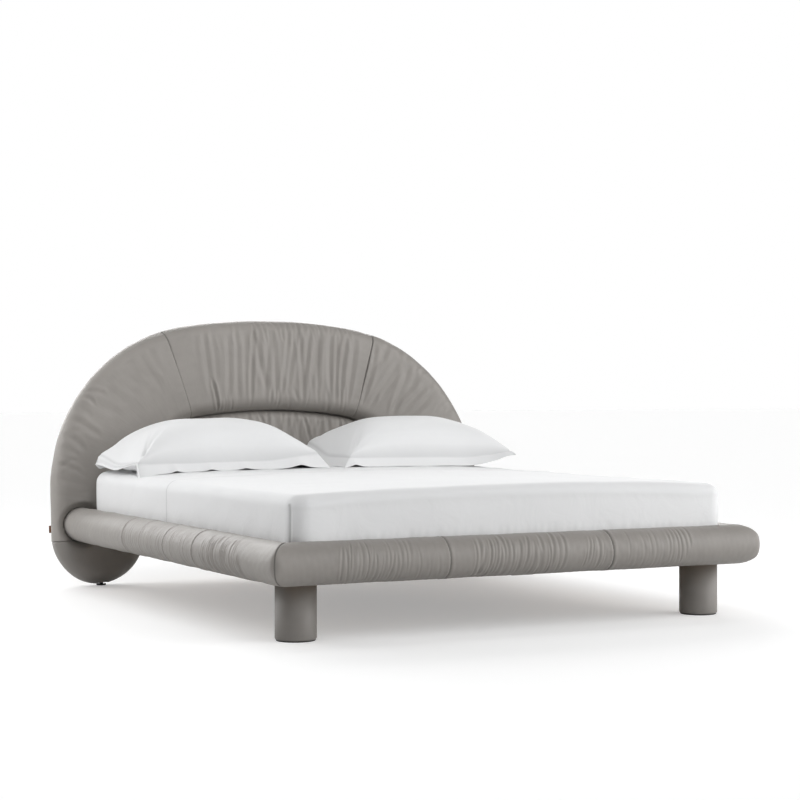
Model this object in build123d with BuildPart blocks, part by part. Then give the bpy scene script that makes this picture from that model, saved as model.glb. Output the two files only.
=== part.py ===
from build123d import *
from math import asin, atan2, cos, degrees, radians, sin, sqrt
import os

# Leather platform bed with bolster rails and an arched, fat rolled headboard.
# Lengths are millimetres. +X runs across the bed, +Y towards the head, +Z up.
# The origin lies on the floor, under the middle of the whole bed.

os.makedirs("parts", exist_ok=True)

# Mattress and bedding
mattress_width = 1724.0
mattress_length = 2024.0
mattress_thickness = 250.0
mattress_crown = 22.0
mattress_corner = 62.0
mattress_edge = 38.0
layer_gap = 0.3
fitted_sheet_thickness = 1.2
flat_sheet_thickness = 1.5
flat_sheet_reach = 1150.0
sheet_tuck = 12.0

# Rails
roll_diameter = 142.0
side_flat_depth = 36.0
foot_flat_depth = 14.0
leather = 1.5
rail_gap = 0.7
board_thickness = 24.0
board_lift = 3.0
board_height = 120.0
corner_softness_share = 0.5

# Legs
leg_diameter = 139.0
leg_height = 189.0
leg_inset_x = 90.0
leg_inset_y = 108.0
leg_glide_thickness = 3.0
leg_glide_margin = 4.0
leg_edge = 7.0

# Headboard, measured in its own leaning plane
lean = 5.59
arch_overhang = 113.5
arch_height = 1134.0
shoulder_radius = 722.0
shoulder_height = 389.5
band_width = 385.0
band_crown = 64.0
front_round = 60.0
back_round = 62.0
lobe_clearance = 16.0
seam_angle = 18.0
head_gap = 4.5
panel_thickness = 21.0
panel_inset = 70.0
panel_bottom = 170.0
cushion_front = 24.0
cushion_lift = 14.0
cushion_round = 21.6
back_cover_thickness = 3.0
back_cover_inset = 64.0

# Slatted base
slat_count = 14
slat_width = 68.0
slat_thickness = 8.0
slat_crown = 8.0
ledger_width = 35.0
ledger_height = 19.0
beam_width = 60.0
beam_height = 20.0
beam_wall = 2.0

# Pillows
pillow_length = 830.0
pillow_depth = 440.0
pillow_height = 198.0
pillow_gap = 0.2
right_pillow_shift = 35.0
case_thickness = 1.5

# Values that follow from the driving dimensions
roll_radius = roll_diameter / 2
bedding = 2 * layer_gap + fitted_sheet_thickness + flat_sheet_thickness
inner_face_x = mattress_width / 2 + bedding + rail_gap
side_axis_x = inner_face_x + side_flat_depth
arch_half_width = side_axis_x + arch_overhang
rail_axis_height = leg_height + roll_radius
base_top = leg_height + ledger_height
cushion_bottom = base_top + cushion_lift
cap_floor = 1.5
slat_bottom = base_top + cap_floor
mattress_bottom = slat_bottom + slat_thickness + slat_crown + layer_gap
head_base_offset = (
    foot_flat_depth + rail_gap + 2 * bedding + mattress_length + head_gap
    + band_crown / cos(radians(lean)) - mattress_bottom * sin(radians(lean)) / cos(radians(lean))
)
back_reach = (
    head_base_offset
    + (arch_height - back_cover_inset) * sin(radians(lean))
    + (back_round + back_cover_thickness) * cos(radians(lean))
)
foot_axis_y = (roll_radius - back_reach) / 2
inner_face_y = foot_axis_y + foot_flat_depth
head_base_y = foot_axis_y + head_base_offset
mattress_front = inner_face_y + rail_gap + bedding
mattress_centre_y = mattress_front + mattress_length / 2
head_plane = Plane(
    origin=(0, head_base_y, 0),
    x_dir=(1, 0, 0),
    z_dir=(0, -cos(radians(lean)), sin(radians(lean))),
)
overrun = 10.0
wide_overrun = 20.0
sides = {"left": -1, "right": 1}


def save(part, label):
    """Labels a finished piece and writes its file."""
    part.label = label
    export_step(part, f"parts/{label}.step")


def block(x_range, y_range, z_range, plane=Plane.XY, mode=Mode.ADD):
    """Adds or cuts a block that spans three ranges along a plane's axes."""
    x_low, x_high = sorted(x_range)
    y_low, y_high = sorted(y_range)
    z_low, z_high = sorted(z_range)
    with BuildSketch(plane.offset(z_low)) as base:
        with Locations(((x_low + x_high) / 2, (y_low + y_high) / 2)):
            Rectangle(x_high - x_low, y_high - y_low)
    extrude(base.sketch, amount=z_high - z_low, mode=mode)


def rod(start, direction, radius, length, mode=Mode.ADD):
    """Adds or cuts a round rod from a start point along a direction."""
    with BuildSketch(Plane(origin=start, z_dir=direction)) as base:
        Circle(radius)
    extrude(base.sketch, amount=length, mode=mode)


# Boards inside the rails
foot_board_y = (inner_face_y - board_thickness, inner_face_y)
dome_centre_y = head_base_y - sin(radians(lean)) * roll_radius - overrun
board_end_y = dome_centre_y + board_thickness
board_bottom = leg_height + board_lift
board_z = (board_bottom, board_bottom + board_height)
screw_radius = 3.0
screw_head_radius = 6.0
screw_head_height = 4.0
screw_length = 70.0
corner_screw_shares = (0.4, 0.8)
corner_screw_heights = [board_bottom + share * board_height for share in corner_screw_shares]
corner_screw_y = (foot_board_y[0] + foot_board_y[1]) / 2


def side_board_range(side):
    """Gives the X range of a side rail's board."""
    return (side * inner_face_x, side * (inner_face_x + board_thickness))


def corner_screw(side, height, clearance, mode=Mode.ADD):
    """Adds or cuts one screw through a side board into the foot board's end."""
    face = side * (inner_face_x + board_thickness)
    head_start = (face, corner_screw_y, height)
    rod(head_start, (-side, 0, 0), screw_head_radius + clearance, screw_head_height + clearance, mode)
    rod(head_start, (-side, 0, 0), screw_radius + clearance, screw_length + clearance, mode)


screw_clearance = 0.1
ledger_screw_count = 6
ledger_start_y = inner_face_y + 2 * leg_inset_y
ledger_end_y = mattress_front + mattress_length
ledger_screw_z = (board_bottom + base_top) / 2
ledger_screw_length = ledger_width + board_thickness / 2
ledger_pitch = (ledger_end_y - ledger_start_y) / ledger_screw_count
ledger_screw_places = [ledger_start_y + (index + 0.5) * ledger_pitch for index in range(ledger_screw_count)]


def ledger_screw(side, place, clearance, mode=Mode.ADD):
    """Adds or cuts one screw through a ledger into the side board."""
    start = (side * (inner_face_x - ledger_width), place, ledger_screw_z)
    rod(start, (side, 0, 0), screw_head_radius + clearance, screw_head_height + clearance, mode)
    rod(start, (side, 0, 0), screw_radius + clearance, ledger_screw_length + clearance, mode)


# Bracket between each side board and its headboard post
post_width = 86.0
post_outer_x = side_axis_x - roll_radius - rail_gap
post_x = (post_outer_x - post_width, post_outer_x)
post_front = 9.0
post_bottom = 45.0
post_top = 560.0
bracket_plate = 4.0
bracket_v = (226.0, 296.0)
bracket_depth = 46.0
bracket_inner_x = post_x[0] + bracket_plate
bolt_radius = 4.0
bolt_head_radius = 7.5
bolt_head_height = 5.0
board_bolt_reach = 21.6
bracket_bolt_depth = 33.0
bracket_bolt_w = post_front + bracket_bolt_depth
bracket_bolt_v_shares = (0.25, 0.75)
bracket_height = bracket_v[1] - bracket_v[0]
bracket_bolt_v = [bracket_v[0] + share * bracket_height for share in bracket_bolt_v_shares]
bracket_bolt_x_shares = (0.25, 0.72)
bracket_bolt_x = [post_x[0] + share * post_width for share in bracket_bolt_x_shares]


def in_head(x, v, w):
    """Turns headboard coordinates into a point of the bed."""
    return tuple(head_plane.from_local_coords((x, v, w)))


def bracket_bolts(side, clearance, mode=Mode.ADD):
    """Adds or cuts a bracket's four bolts, two into the board and two into the post."""
    for v in bracket_bolt_v:
        start = in_head(side * (inner_face_x - bracket_plate - bolt_head_height), v, bracket_bolt_w)
        shank = bolt_head_height + bracket_plate + board_bolt_reach + clearance
        rod(start, (side, 0, 0), bolt_head_radius + clearance, bolt_head_height, mode)
        rod(start, (side, 0, 0), bolt_radius + clearance, shank, mode)
    for x in bracket_bolt_x:
        start = in_head(side * x, sum(bracket_v) / 2, post_front + bracket_plate + bolt_head_height)
        shank = bolt_head_height + bracket_plate + board_thickness + clearance
        back = tuple(-head_plane.z_dir)
        rod(start, back, bolt_head_radius + clearance, bolt_head_height, mode)
        rod(start, back, bolt_radius + clearance, shank, mode)


side_boards = {}
for name, side in sides.items():
    with BuildPart() as side_board:
        block(side_board_range(side), (foot_board_y[0], board_end_y), board_z)
        for height in corner_screw_heights:
            corner_screw(side, height, screw_clearance, Mode.SUBTRACT)
        for place in ledger_screw_places:
            ledger_screw(side, place, screw_clearance, Mode.SUBTRACT)
        bracket_bolts(side, screw_clearance, Mode.SUBTRACT)
    side_boards[name] = side_board
    save(side_board.part, f"{name}_rail_board")

with BuildPart() as foot_board:
    block((-inner_face_x, inner_face_x), foot_board_y, board_z)
    for side in sides.values():
        for height in corner_screw_heights:
            corner_screw(side, height, screw_clearance, Mode.SUBTRACT)
save(foot_board.part, "foot_rail_board")

with BuildPart() as corner_screws:
    for side in sides.values():
        for height in corner_screw_heights:
            corner_screw(side, height, 0)
save(corner_screws.part, "corner_screws")


# Padded rolls round the rails, mitred at the foot corners
mitre_diagonal = roll_radius * sqrt(2) - corner_softness_share * roll_radius * (sqrt(2) - 1)
ball_inset = 20.0
ball_radius = mitre_diagonal + ball_inset * sqrt(2)
corner_reach = roll_radius - overrun
corner_over = roll_radius + wide_overrun
outer_diagonal = 45.0
quarter_turn = 90.0


def mitre_plane(side):
    """Gives the upright plane in which a side roll and the foot roll meet."""
    return Plane(origin=(side * side_axis_x, foot_axis_y, 0), z_dir=(side, 1, 0))


def corner_trim(side, radius):
    """Makes what is taken off a mitre's sharp outer ridge to round it."""
    with BuildPart() as trim:
        block(
            (side * (side_axis_x - corner_reach), side * (side_axis_x + corner_over)),
            (foot_axis_y - corner_over, foot_axis_y + corner_reach),
            (rail_axis_height - corner_over, rail_axis_height + corner_over),
        )
        with Locations((side * (side_axis_x - ball_inset), foot_axis_y + ball_inset, rail_axis_height)):
            Sphere(radius, rotation=(0, 0, quarter_turn + side * outer_diagonal), mode=Mode.SUBTRACT)
    return trim


def round_roll(side, radius, start_y, mode=Mode.ADD):
    """Adds or cuts a whole side roll with its domed head end."""
    axis_x = side * side_axis_x
    with BuildSketch(Plane.XY.offset(rail_axis_height)) as outline:
        with BuildLine():
            Line((axis_x, start_y), (axis_x + radius, start_y))
            Line((axis_x + radius, start_y), (axis_x + radius, dome_centre_y))
            CenterArc((axis_x, dome_centre_y), radius, 0, 90)
            Line((axis_x, dome_centre_y + radius), (axis_x, start_y))
        make_face()
    revolve(outline.sketch, axis=Axis((axis_x, 0, rail_axis_height), (0, 1, 0)), mode=mode)


def side_roll_form(side, skin):
    """Makes a side roll, set in by a skin, with its flat face and its mitre."""
    radius = roll_radius - skin
    trim = corner_trim(side, ball_radius - skin)
    with BuildPart() as roll:
        round_roll(side, radius, foot_axis_y - roll_radius)
        block(
            (0, side * inner_face_x),
            (foot_axis_y - corner_over, dome_centre_y + corner_over),
            (rail_axis_height - corner_over, rail_axis_height + corner_over),
            mode=Mode.SUBTRACT,
        )
        split(bisect_by=mitre_plane(side), keep=Keep.TOP)
        add(trim.part, mode=Mode.SUBTRACT)
    return roll


def foot_roll_form(skin):
    """Makes the foot roll, set in by a skin, with its flat face and two mitres."""
    radius = roll_radius - skin
    reach = side_axis_x + roll_radius
    trims = [corner_trim(side, ball_radius - skin) for side in sides.values()]
    with BuildPart() as roll:
        rod((-reach, foot_axis_y, rail_axis_height), (1, 0, 0), radius, 2 * reach)
        block(
            (-reach, reach),
            (inner_face_y, inner_face_y + corner_over),
            (rail_axis_height - corner_over, rail_axis_height + corner_over),
            mode=Mode.SUBTRACT,
        )
        for side in sides.values():
            split(bisect_by=mitre_plane(side), keep=Keep.BOTTOM)
        for trim in trims:
            add(trim.part, mode=Mode.SUBTRACT)
    return roll


def cut_boards():
    """Cuts the three boards' room out of a roll."""
    for side in sides.values():
        block(side_board_range(side), (foot_board_y[0], board_end_y), board_z, mode=Mode.SUBTRACT)
    block((-inner_face_x, inner_face_x), foot_board_y, board_z, mode=Mode.SUBTRACT)


for name, side in sides.items():
    whole, core = side_roll_form(side, 0), side_roll_form(side, leather)
    with BuildPart() as side_padding:
        add(core.part)
        cut_boards()
        for v in bracket_bolt_v:
            start = in_head(side * inner_face_x, v, bracket_bolt_w)
            rod(start, (side, 0, 0), bolt_radius, board_thickness, mode=Mode.SUBTRACT)
    save(side_padding.part, f"{name}_rail_padding")
    with BuildPart() as side_cover:
        add(whole.part)
        add(core.part, mode=Mode.SUBTRACT)
        cut_boards()
    save(side_cover.part, f"{name}_rail_cover")

whole, core = foot_roll_form(0), foot_roll_form(leather)
with BuildPart() as foot_padding:
    add(core.part)
    cut_boards()
save(foot_padding.part, "foot_rail_padding")
with BuildPart() as foot_cover:
    add(whole.part)
    add(core.part, mode=Mode.SUBTRACT)
    cut_boards()
save(foot_cover.part, "foot_rail_cover")


# Corner plates, legs and their bolts
leg_x = side_axis_x - leg_inset_x
leg_y = foot_axis_y + leg_inset_y
leg_radius = leg_diameter / 2
plate_inner_x = leg_x - leg_radius - board_thickness
plate_end_y = ledger_start_y
leg_bolt_radius = 5.0
leg_bolt_length = 80.0
leg_bolt_head = 8.5
leg_bolt_head_height = 6.4
leg_bolt_reach = 70.0
glide_chamfer = 1.0
washer_radius = 15.0
washer_thickness = 2.0


def leg_form(side, skin):
    """Makes a leg's round form, set in by a skin, with its lower edge rounded."""
    with BuildPart() as form:
        rod((side * leg_x, leg_y, leg_glide_thickness), (0, 0, 1), leg_radius - skin,
            leg_height - leg_glide_thickness)
        fillet(form.edges().group_by(Axis.Z)[0], leg_edge - skin)
    return form


for name, side in sides.items():
    with BuildPart() as corner_plate:
        block((side * plate_inner_x, side * inner_face_x), (inner_face_y, plate_end_y),
              (leg_height, base_top))
        rod((side * leg_x, leg_y, leg_height), (0, 0, 1), leg_bolt_radius + screw_clearance, ledger_height,
            mode=Mode.SUBTRACT)
    save(corner_plate.part, f"{name}_corner_plate")

    with BuildPart() as leg_core:
        add(leg_form(side, leather).part)
        rod((side * leg_x, leg_y, leg_height), (0, 0, -1), leg_bolt_radius + screw_clearance,
            leg_bolt_length, mode=Mode.SUBTRACT)
    save(leg_core.part, f"{name}_leg")

    with BuildPart() as leg_cover:
        add(leg_form(side, 0).part)
        add(leg_form(side, leather).part, mode=Mode.SUBTRACT)
    save(leg_cover.part, f"{name}_leg_cover")

    with BuildPart() as leg_glide:
        rod((side * leg_x, leg_y, 0), (0, 0, 1), leg_radius - leg_glide_margin, leg_glide_thickness)
        chamfer(leg_glide.edges().group_by(Axis.Z)[0], glide_chamfer)
    save(leg_glide.part, f"{name}_leg_glide")

with BuildPart() as leg_bolts:
    for side in sides.values():
        foot_of_head = base_top + washer_thickness
        rod((side * leg_x, leg_y, base_top), (0, 0, 1), washer_radius, washer_thickness)
        with BuildSketch(Plane.XY.offset(foot_of_head)):
            with Locations((side * leg_x, leg_y)):
                RegularPolygon(leg_bolt_head, 6)
        extrude(amount=leg_bolt_head_height)
        rod((side * leg_x, leg_y, foot_of_head), (0, 0, -1), leg_bolt_radius,
            leg_bolt_reach + ledger_height)
save(leg_bolts.part, "leg_bolts")


# Headboard outline: an arch of a crown arc and two shoulder arcs on straight sides
arch_shift = arch_half_width - shoulder_radius
arch_rise = arch_height - shoulder_height
crown_radius = (arch_shift**2 + arch_rise**2 - shoulder_radius**2) / (2 * (arch_rise - shoulder_radius))
crown_centre = arch_height - crown_radius
crown_half_angle = degrees(asin(arch_shift / (crown_radius - shoulder_radius)))
band_half = band_width / 2
lobe_x = arch_half_width - band_half
lobe_v = lobe_clearance + band_half
front_axis = head_plane.z_dir
normal = tuple(front_axis)
reverse_normal = tuple(-front_axis)
up_slope = head_plane.y_dir


def arch_face(plane, inset, bottom):
    """Gives the arch's face, set in all round, down to a straight bottom edge."""
    half = arch_half_width - inset
    shoulder = shoulder_radius - inset
    crown = crown_radius - inset
    with BuildSketch(plane) as face:
        with BuildLine():
            Line((half, bottom), (half, shoulder_height))
            CenterArc((arch_shift, shoulder_height), shoulder, 0, 90 - crown_half_angle)
            CenterArc((0, crown_centre), crown, 90 - crown_half_angle, 2 * crown_half_angle)
            CenterArc((-arch_shift, shoulder_height), shoulder, 90 + crown_half_angle, 90 - crown_half_angle)
            Line((-half, shoulder_height), (-half, bottom))
            Line((-half, bottom), (half, bottom))
        make_face()
    return face.sketch


# The band's cross section: a flat crown with round shoulders and a flat back
section_shift = band_half - front_round
section_crown_radius = (section_shift**2 + band_crown**2 - front_round**2) / (2 * (band_crown - front_round))
section_angle = degrees(atan2(section_crown_radius - band_crown, section_shift))


def band_section(plane):
    """Gives the whole cross section of the band, its front along the plane's Y."""
    back_shift = band_half - back_round
    with BuildSketch(plane) as section:
        with BuildLine():
            CenterArc((section_shift, 0), front_round, 0, section_angle)
            CenterArc((0, band_crown - section_crown_radius), section_crown_radius, section_angle,
                      180 - 2 * section_angle)
            CenterArc((-section_shift, 0), front_round, 180 - section_angle, section_angle)
            CenterArc((-back_shift, 0), back_round, 180, 90)
            Line((-back_shift, -back_round), (back_shift, -back_round))
            CenterArc((back_shift, 0), back_round, 270, 90)
        make_face()
    return section.sketch


def half_section(plane):
    """Gives the half of the band's cross section that lies at negative X."""
    back_shift = band_half - back_round
    with BuildSketch(plane) as section:
        with BuildLine():
            CenterArc((0, band_crown - section_crown_radius), section_crown_radius, 90, 90 - section_angle)
            CenterArc((-section_shift, 0), front_round, 180 - section_angle, section_angle)
            CenterArc((-back_shift, 0), back_round, 180, 90)
            Line((-back_shift, -back_round), (0, -back_round))
            Line((0, -back_round), (0, band_crown))
        make_face()
    return section.sketch


def upright_section_plane(x, v):
    """Gives the plane of a cross section whose band runs straight up the slope."""
    return Plane(origin=in_head(x, v, 0), x_dir=(1, 0, 0), z_dir=tuple(-up_slope))


def turned_section_plane(centre_x, centre_v, reach, angle):
    """Gives the plane of a cross section on an arc of the arch, at an angle from +X."""
    across = head_plane.x_dir * cos(radians(angle)) + up_slope * sin(radians(angle))
    place = (centre_x + reach * cos(radians(angle)), centre_v + reach * sin(radians(angle)), 0)
    origin = head_plane.from_local_coords(place)
    return Plane(origin=origin, x_dir=across, z_dir=across.cross(front_axis))


def arc_of_band(centre_x, centre_v, radius, start_angle, arc):
    """Adds the part of the band that turns about one centre of the arch."""
    section = band_section(turned_section_plane(centre_x, centre_v, radius - band_half, start_angle))
    revolve(section, axis=Axis(in_head(centre_x, centre_v, 0), normal), revolution_arc=arc)


# Posts, brackets and sockets inside the headboard's feet
socket_offset = 18.0
socket_x = sum(post_x) / 2 + socket_offset
socket_w = -10.0
socket_y = in_head(socket_x, lobe_clearance, socket_w)[1]
socket_radius = 11.0
socket_flange_radius = 22.0
socket_flange = 3.0
socket_bottom = 13.0
socket_top = 70.0
stud_radius = 5.0
stud_clearance = 0.1
stud_top = 65.0
foot_disc_radius = 20.0
foot_disc_height = 7.0
foot_disc_chamfer = 1.75
foot_collar_radius = 9.0
post_back = panel_thickness - back_round
post_bolt_shares = (0.45, 0.88)
post_bolt_v = [share * post_top for share in post_bolt_shares]
post_bolt_x = sum(post_x) / 2
bolt_head_recess = 2.0
counterbore = bolt_head_height + bolt_head_recess
panel_bolt_reach = 16.8
bracket_room = 6.0
side_room_length = 280.0


def post_block(side, mode=Mode.ADD):
    """Adds or cuts the post inside one foot of the headboard."""
    block((side * post_x[0], side * post_x[1]), (post_bottom, post_top), (post_back, post_front),
          plane=head_plane, mode=mode)


def socket_room(side, mode=Mode.SUBTRACT):
    """Cuts the room of a levelling foot's socket and stud."""
    rod((side * socket_x, socket_y, 0), (0, 0, 1), socket_radius, socket_top, mode)
    rod((side * socket_x, socket_y, 0), (0, 0, 1), socket_flange_radius, socket_bottom + socket_flange, mode)


def post_bolt(side, v, clearance, mode=Mode.ADD):
    """Adds or cuts a bolt that holds a post to the panel behind it."""
    start = in_head(side * post_bolt_x, v, post_front - bolt_head_recess)
    shank = post_front - bolt_head_recess - post_back + panel_bolt_reach + clearance
    rod(start, reverse_normal, bolt_head_radius + clearance, bolt_head_height, mode)
    rod(start, reverse_normal, bolt_radius + clearance, shank, mode)


def bracket_body(side, mode=Mode.ADD, room=0):
    """Adds or cuts an L bracket between a side board and a post."""
    v_range = (bracket_v[0] - room, bracket_v[1] + room)
    block((side * bracket_inner_x - side * room, side * inner_face_x), v_range,
          (post_front, post_front + bracket_plate + room), plane=head_plane, mode=mode)
    block((side * (inner_face_x - bracket_plate) - side * room, side * inner_face_x), v_range,
          (post_front, post_front + bracket_depth + room), plane=head_plane, mode=mode)


def cut_band_room(side):
    """Cuts from the band's soft filling all that lies inside it on one side."""
    round_roll(side, roll_radius + layer_gap, dome_centre_y - side_room_length, mode=Mode.SUBTRACT)
    post_block(side, mode=Mode.SUBTRACT)
    bracket_body(side, mode=Mode.SUBTRACT, room=bracket_room)
    block(side_board_range(side), (mattress_centre_y, board_end_y), board_z, mode=Mode.SUBTRACT)


def cut_panel():
    """Cuts the arched panel's room."""
    face = arch_face(head_plane.offset(-back_round), panel_inset, panel_bottom)
    extrude(face, amount=panel_thickness, mode=Mode.SUBTRACT)


for name, side in sides.items():
    with BuildPart() as band_side:
        section = band_section(upright_section_plane(side * lobe_x, lobe_v))
        extrude(section, amount=-(shoulder_height - lobe_v))
        sweep_angle = 90 - seam_angle
        start_angle = 180 - sweep_angle if side < 0 else 0
        arc_of_band(side * arch_shift, shoulder_height, shoulder_radius, start_angle, sweep_angle)
        cut_panel()
        cut_band_room(side)
    save(band_side.part, f"{name}_headboard_band")

for name, side in sides.items():
    with BuildPart() as lobe:
        section = half_section(upright_section_plane(side * lobe_x, lobe_v))
        revolve(section, axis=Axis(in_head(side * lobe_x, lobe_v, 0), normal), revolution_arc=180)
        cut_panel()
        cut_band_room(side)
        socket_room(side)
    save(lobe.part, f"{name}_headboard_foot")

for name, side in sides.items():
    with BuildPart() as post:
        post_block(side)
        socket_room(side)
        for v in post_bolt_v:
            post_bolt(side, v, screw_clearance, Mode.SUBTRACT)
            mouth = in_head(side * post_bolt_x, v, post_front)
            rod(mouth, reverse_normal, bolt_head_radius + screw_clearance, counterbore, mode=Mode.SUBTRACT)
        bracket_bolts(side, screw_clearance, Mode.SUBTRACT)
    save(post.part, f"{name}_headboard_post")

    with BuildPart() as bracket:
        bracket_body(side)
        bracket_bolts(side, screw_clearance, Mode.SUBTRACT)
    save(bracket.part, f"{name}_headboard_bracket")

for name, side in sides.items():
    with BuildPart() as socket:
        rod((side * socket_x, socket_y, socket_bottom), (0, 0, 1), socket_radius, socket_top - socket_bottom)
        rod((side * socket_x, socket_y, socket_bottom), (0, 0, 1), socket_flange_radius, socket_flange)
        rod((side * socket_x, socket_y, 0), (0, 0, 1), stud_radius + stud_clearance, socket_top,
            mode=Mode.SUBTRACT)
    save(socket.part, f"{name}_foot_socket")

    with BuildPart() as leveling_foot:
        rod((side * socket_x, socket_y, 0), (0, 0, 1), foot_disc_radius, foot_disc_height)
        chamfer(leveling_foot.edges().group_by(Axis.Z)[-1], foot_disc_chamfer)
        with BuildSketch(Plane.XY.offset(foot_disc_height)):
            with Locations((side * socket_x, socket_y)):
                RegularPolygon(foot_collar_radius, 6)
        extrude(amount=socket_bottom - foot_disc_height)
        rod((side * socket_x, socket_y, foot_disc_height), (0, 0, 1), stud_radius,
            stud_top - foot_disc_height)
    save(leveling_foot.part, f"{name}_leveling_foot")

shoulder_arc = seam_angle - crown_half_angle
centre_arcs = (
    (arch_shift, shoulder_height, shoulder_radius, 90 - seam_angle, shoulder_arc),
    (0, crown_centre, crown_radius, 90 - crown_half_angle, 2 * crown_half_angle),
    (-arch_shift, shoulder_height, shoulder_radius, 90 + crown_half_angle, shoulder_arc),
)
centre_pieces = []
for centre_arc in centre_arcs:
    with BuildPart() as centre_piece:
        arc_of_band(*centre_arc)
        cut_panel()
    centre_pieces.append(centre_piece.part)
with BuildPart() as band_centre:
    add(centre_pieces)
save(band_centre.part, "center_headboard_band")

with BuildPart() as panel:
    extrude(arch_face(head_plane.offset(-back_round), panel_inset, panel_bottom), amount=panel_thickness)
    for side in sides.values():
        for v in post_bolt_v:
            post_bolt(side, v, screw_clearance, Mode.SUBTRACT)
save(panel.part, "headboard_panel")

with BuildPart() as back_cover:
    cover_plane = head_plane.offset(-back_round - back_cover_thickness)
    extrude(arch_face(cover_plane, back_cover_inset, panel_bottom), amount=back_cover_thickness)
save(back_cover.part, "headboard_back_cover")

with BuildPart() as head_cushion:
    cushion_face = arch_face(head_plane.offset(post_back), band_width + layer_gap, cushion_bottom)
    extrude(cushion_face, amount=cushion_front - post_back)
    fillet(head_cushion.faces().sort_by(Axis((0, 0, 0), normal))[-1].edges(), cushion_round)
save(head_cushion.part, "headboard_cushion")

with BuildPart() as post_bolts:
    for side in sides.values():
        for v in post_bolt_v:
            post_bolt(side, v, 0)
save(post_bolts.part, "headboard_post_bolts")

with BuildPart() as all_bracket_bolts:
    for side in sides.values():
        bracket_bolts(side, 0)
save(all_bracket_bolts.part, "headboard_bracket_bolts")


# Small plain leather tag sewn into the headboard's back left edge
tag_length = 30.0
tag_reach = 17.0
tag_thickness = 2.5
tag_middle = 243.0
tag_v = (tag_middle - tag_length / 2, tag_middle + tag_length / 2)
tag_w = -44.6
tag_root_x = -(arch_half_width - back_round + sqrt(back_round**2 - tag_w**2))

with BuildPart() as side_tag:
    block((tag_root_x - tag_reach, tag_root_x - layer_gap), tag_v, (tag_w - tag_thickness, tag_w),
          plane=head_plane)
save(side_tag.part, "side_tag")


# Slatted base: ledgers, centre beam, stirrups, slats and their caps
ledger_inner_x = inner_face_x - ledger_width
for name, side in sides.items():
    with BuildPart() as ledger:
        block((side * ledger_inner_x, side * inner_face_x), (ledger_start_y, ledger_end_y),
              (leg_height, base_top))
        for place in ledger_screw_places:
            ledger_screw(side, place, screw_clearance, Mode.SUBTRACT)
    save(ledger.part, f"{name}_slat_ledger")

with BuildPart() as ledger_screws:
    for side in sides.values():
        for place in ledger_screw_places:
            ledger_screw(side, place, 0)
save(ledger_screws.part, "ledger_screws")

head_ledger_margin = 30.0
head_ledger_half = arch_half_width - band_width - head_ledger_margin
head_ledger_v = (160.0, 214.0)
head_ledger_front = -1.0
with BuildPart() as head_ledger:
    block((-head_ledger_half, head_ledger_half), head_ledger_v, (post_back, head_ledger_front),
          plane=head_plane)
save(head_ledger.part, "head_ledger")

stirrup_plate = 3.0
stirrup_depth = 40.0
stirrup_wing = 12.0
stirrup_cheek = 14.0
beam_bottom = base_top - beam_height
beam_start_y = inner_face_y + stirrup_plate + layer_gap
beam_end_gap = 3.0
beam_end_y = in_head(0, beam_bottom, head_ledger_front + stirrup_plate + beam_end_gap)[1]


def stirrup_cradle(y_range):
    """Adds the U that a beam's end lies in."""
    outer = beam_width / 2 + layer_gap + stirrup_plate
    inner = beam_width / 2 + layer_gap
    low = beam_bottom - stirrup_plate
    high = beam_bottom + stirrup_cheek
    block((-outer, outer), y_range, (low, beam_bottom))
    block((-outer, -inner), y_range, (low, high))
    block((inner, outer), y_range, (low, high))


with BuildPart() as beam_stirrups:
    wing_half = beam_width / 2 + stirrup_wing
    block((-wing_half, wing_half), (inner_face_y, inner_face_y + stirrup_plate),
          (beam_bottom - stirrup_plate, base_top))
    stirrup_cradle((inner_face_y, inner_face_y + stirrup_depth))
    block((-wing_half, wing_half), head_ledger_v, (head_ledger_front, head_ledger_front + stirrup_plate),
          plane=head_plane)
    stirrup_cradle((beam_end_y - stirrup_depth, beam_end_y + stirrup_plate))
save(beam_stirrups.part, "beam_stirrups")

with BuildPart() as centre_beam:
    block((-beam_width / 2, beam_width / 2), (beam_start_y, beam_end_y), (beam_bottom, base_top))
    block((-beam_width / 2 + beam_wall, beam_width / 2 - beam_wall), (beam_start_y, beam_end_y),
          (beam_bottom + beam_wall, base_top - beam_wall), mode=Mode.SUBTRACT)
save(centre_beam.part, "center_beam")

slat_inner_x = 6.0
slat_end_gap = 4.5
slat_outer_x = inner_face_x - slat_end_gap
cap_wall = 3.0
cap_room = 2.0
cap_top = slat_bottom + slat_thickness + cap_room + cap_floor
cap_outer_x = inner_face_x - layer_gap
cap_inner_x = ledger_inner_x - cap_wall
centre_cap_half = beam_width / 2
slat_first_y = plate_end_y + slat_width / 2 + cap_wall + overrun
slat_last_y = ledger_end_y - slat_width / 2 - cap_wall
slat_pitch = (slat_last_y - slat_first_y) / (slat_count - 1)
slat_places = [slat_first_y + index * slat_pitch for index in range(slat_count)]


def slat_profile(side, start_y):
    """Gives one bowed slat's face as it is seen from the foot of the bed."""
    low, high = side * slat_inner_x, side * slat_outer_x
    middle = (low + high) / 2
    ends = slat_bottom + layer_gap
    with BuildSketch(Plane(origin=(0, start_y, 0), x_dir=(1, 0, 0), z_dir=(0, -1, 0))) as profile:
        with BuildLine():
            ThreePointArc((low, ends), (middle, ends + slat_crown - layer_gap), (high, ends))
            Line((high, ends), (high, ends + slat_thickness - layer_gap))
            ThreePointArc((high, ends + slat_thickness - layer_gap),
                          (middle, slat_bottom + slat_thickness + slat_crown - layer_gap),
                          (low, ends + slat_thickness - layer_gap))
            Line((low, ends + slat_thickness - layer_gap), (low, ends))
        make_face()
    return profile.sketch


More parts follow.
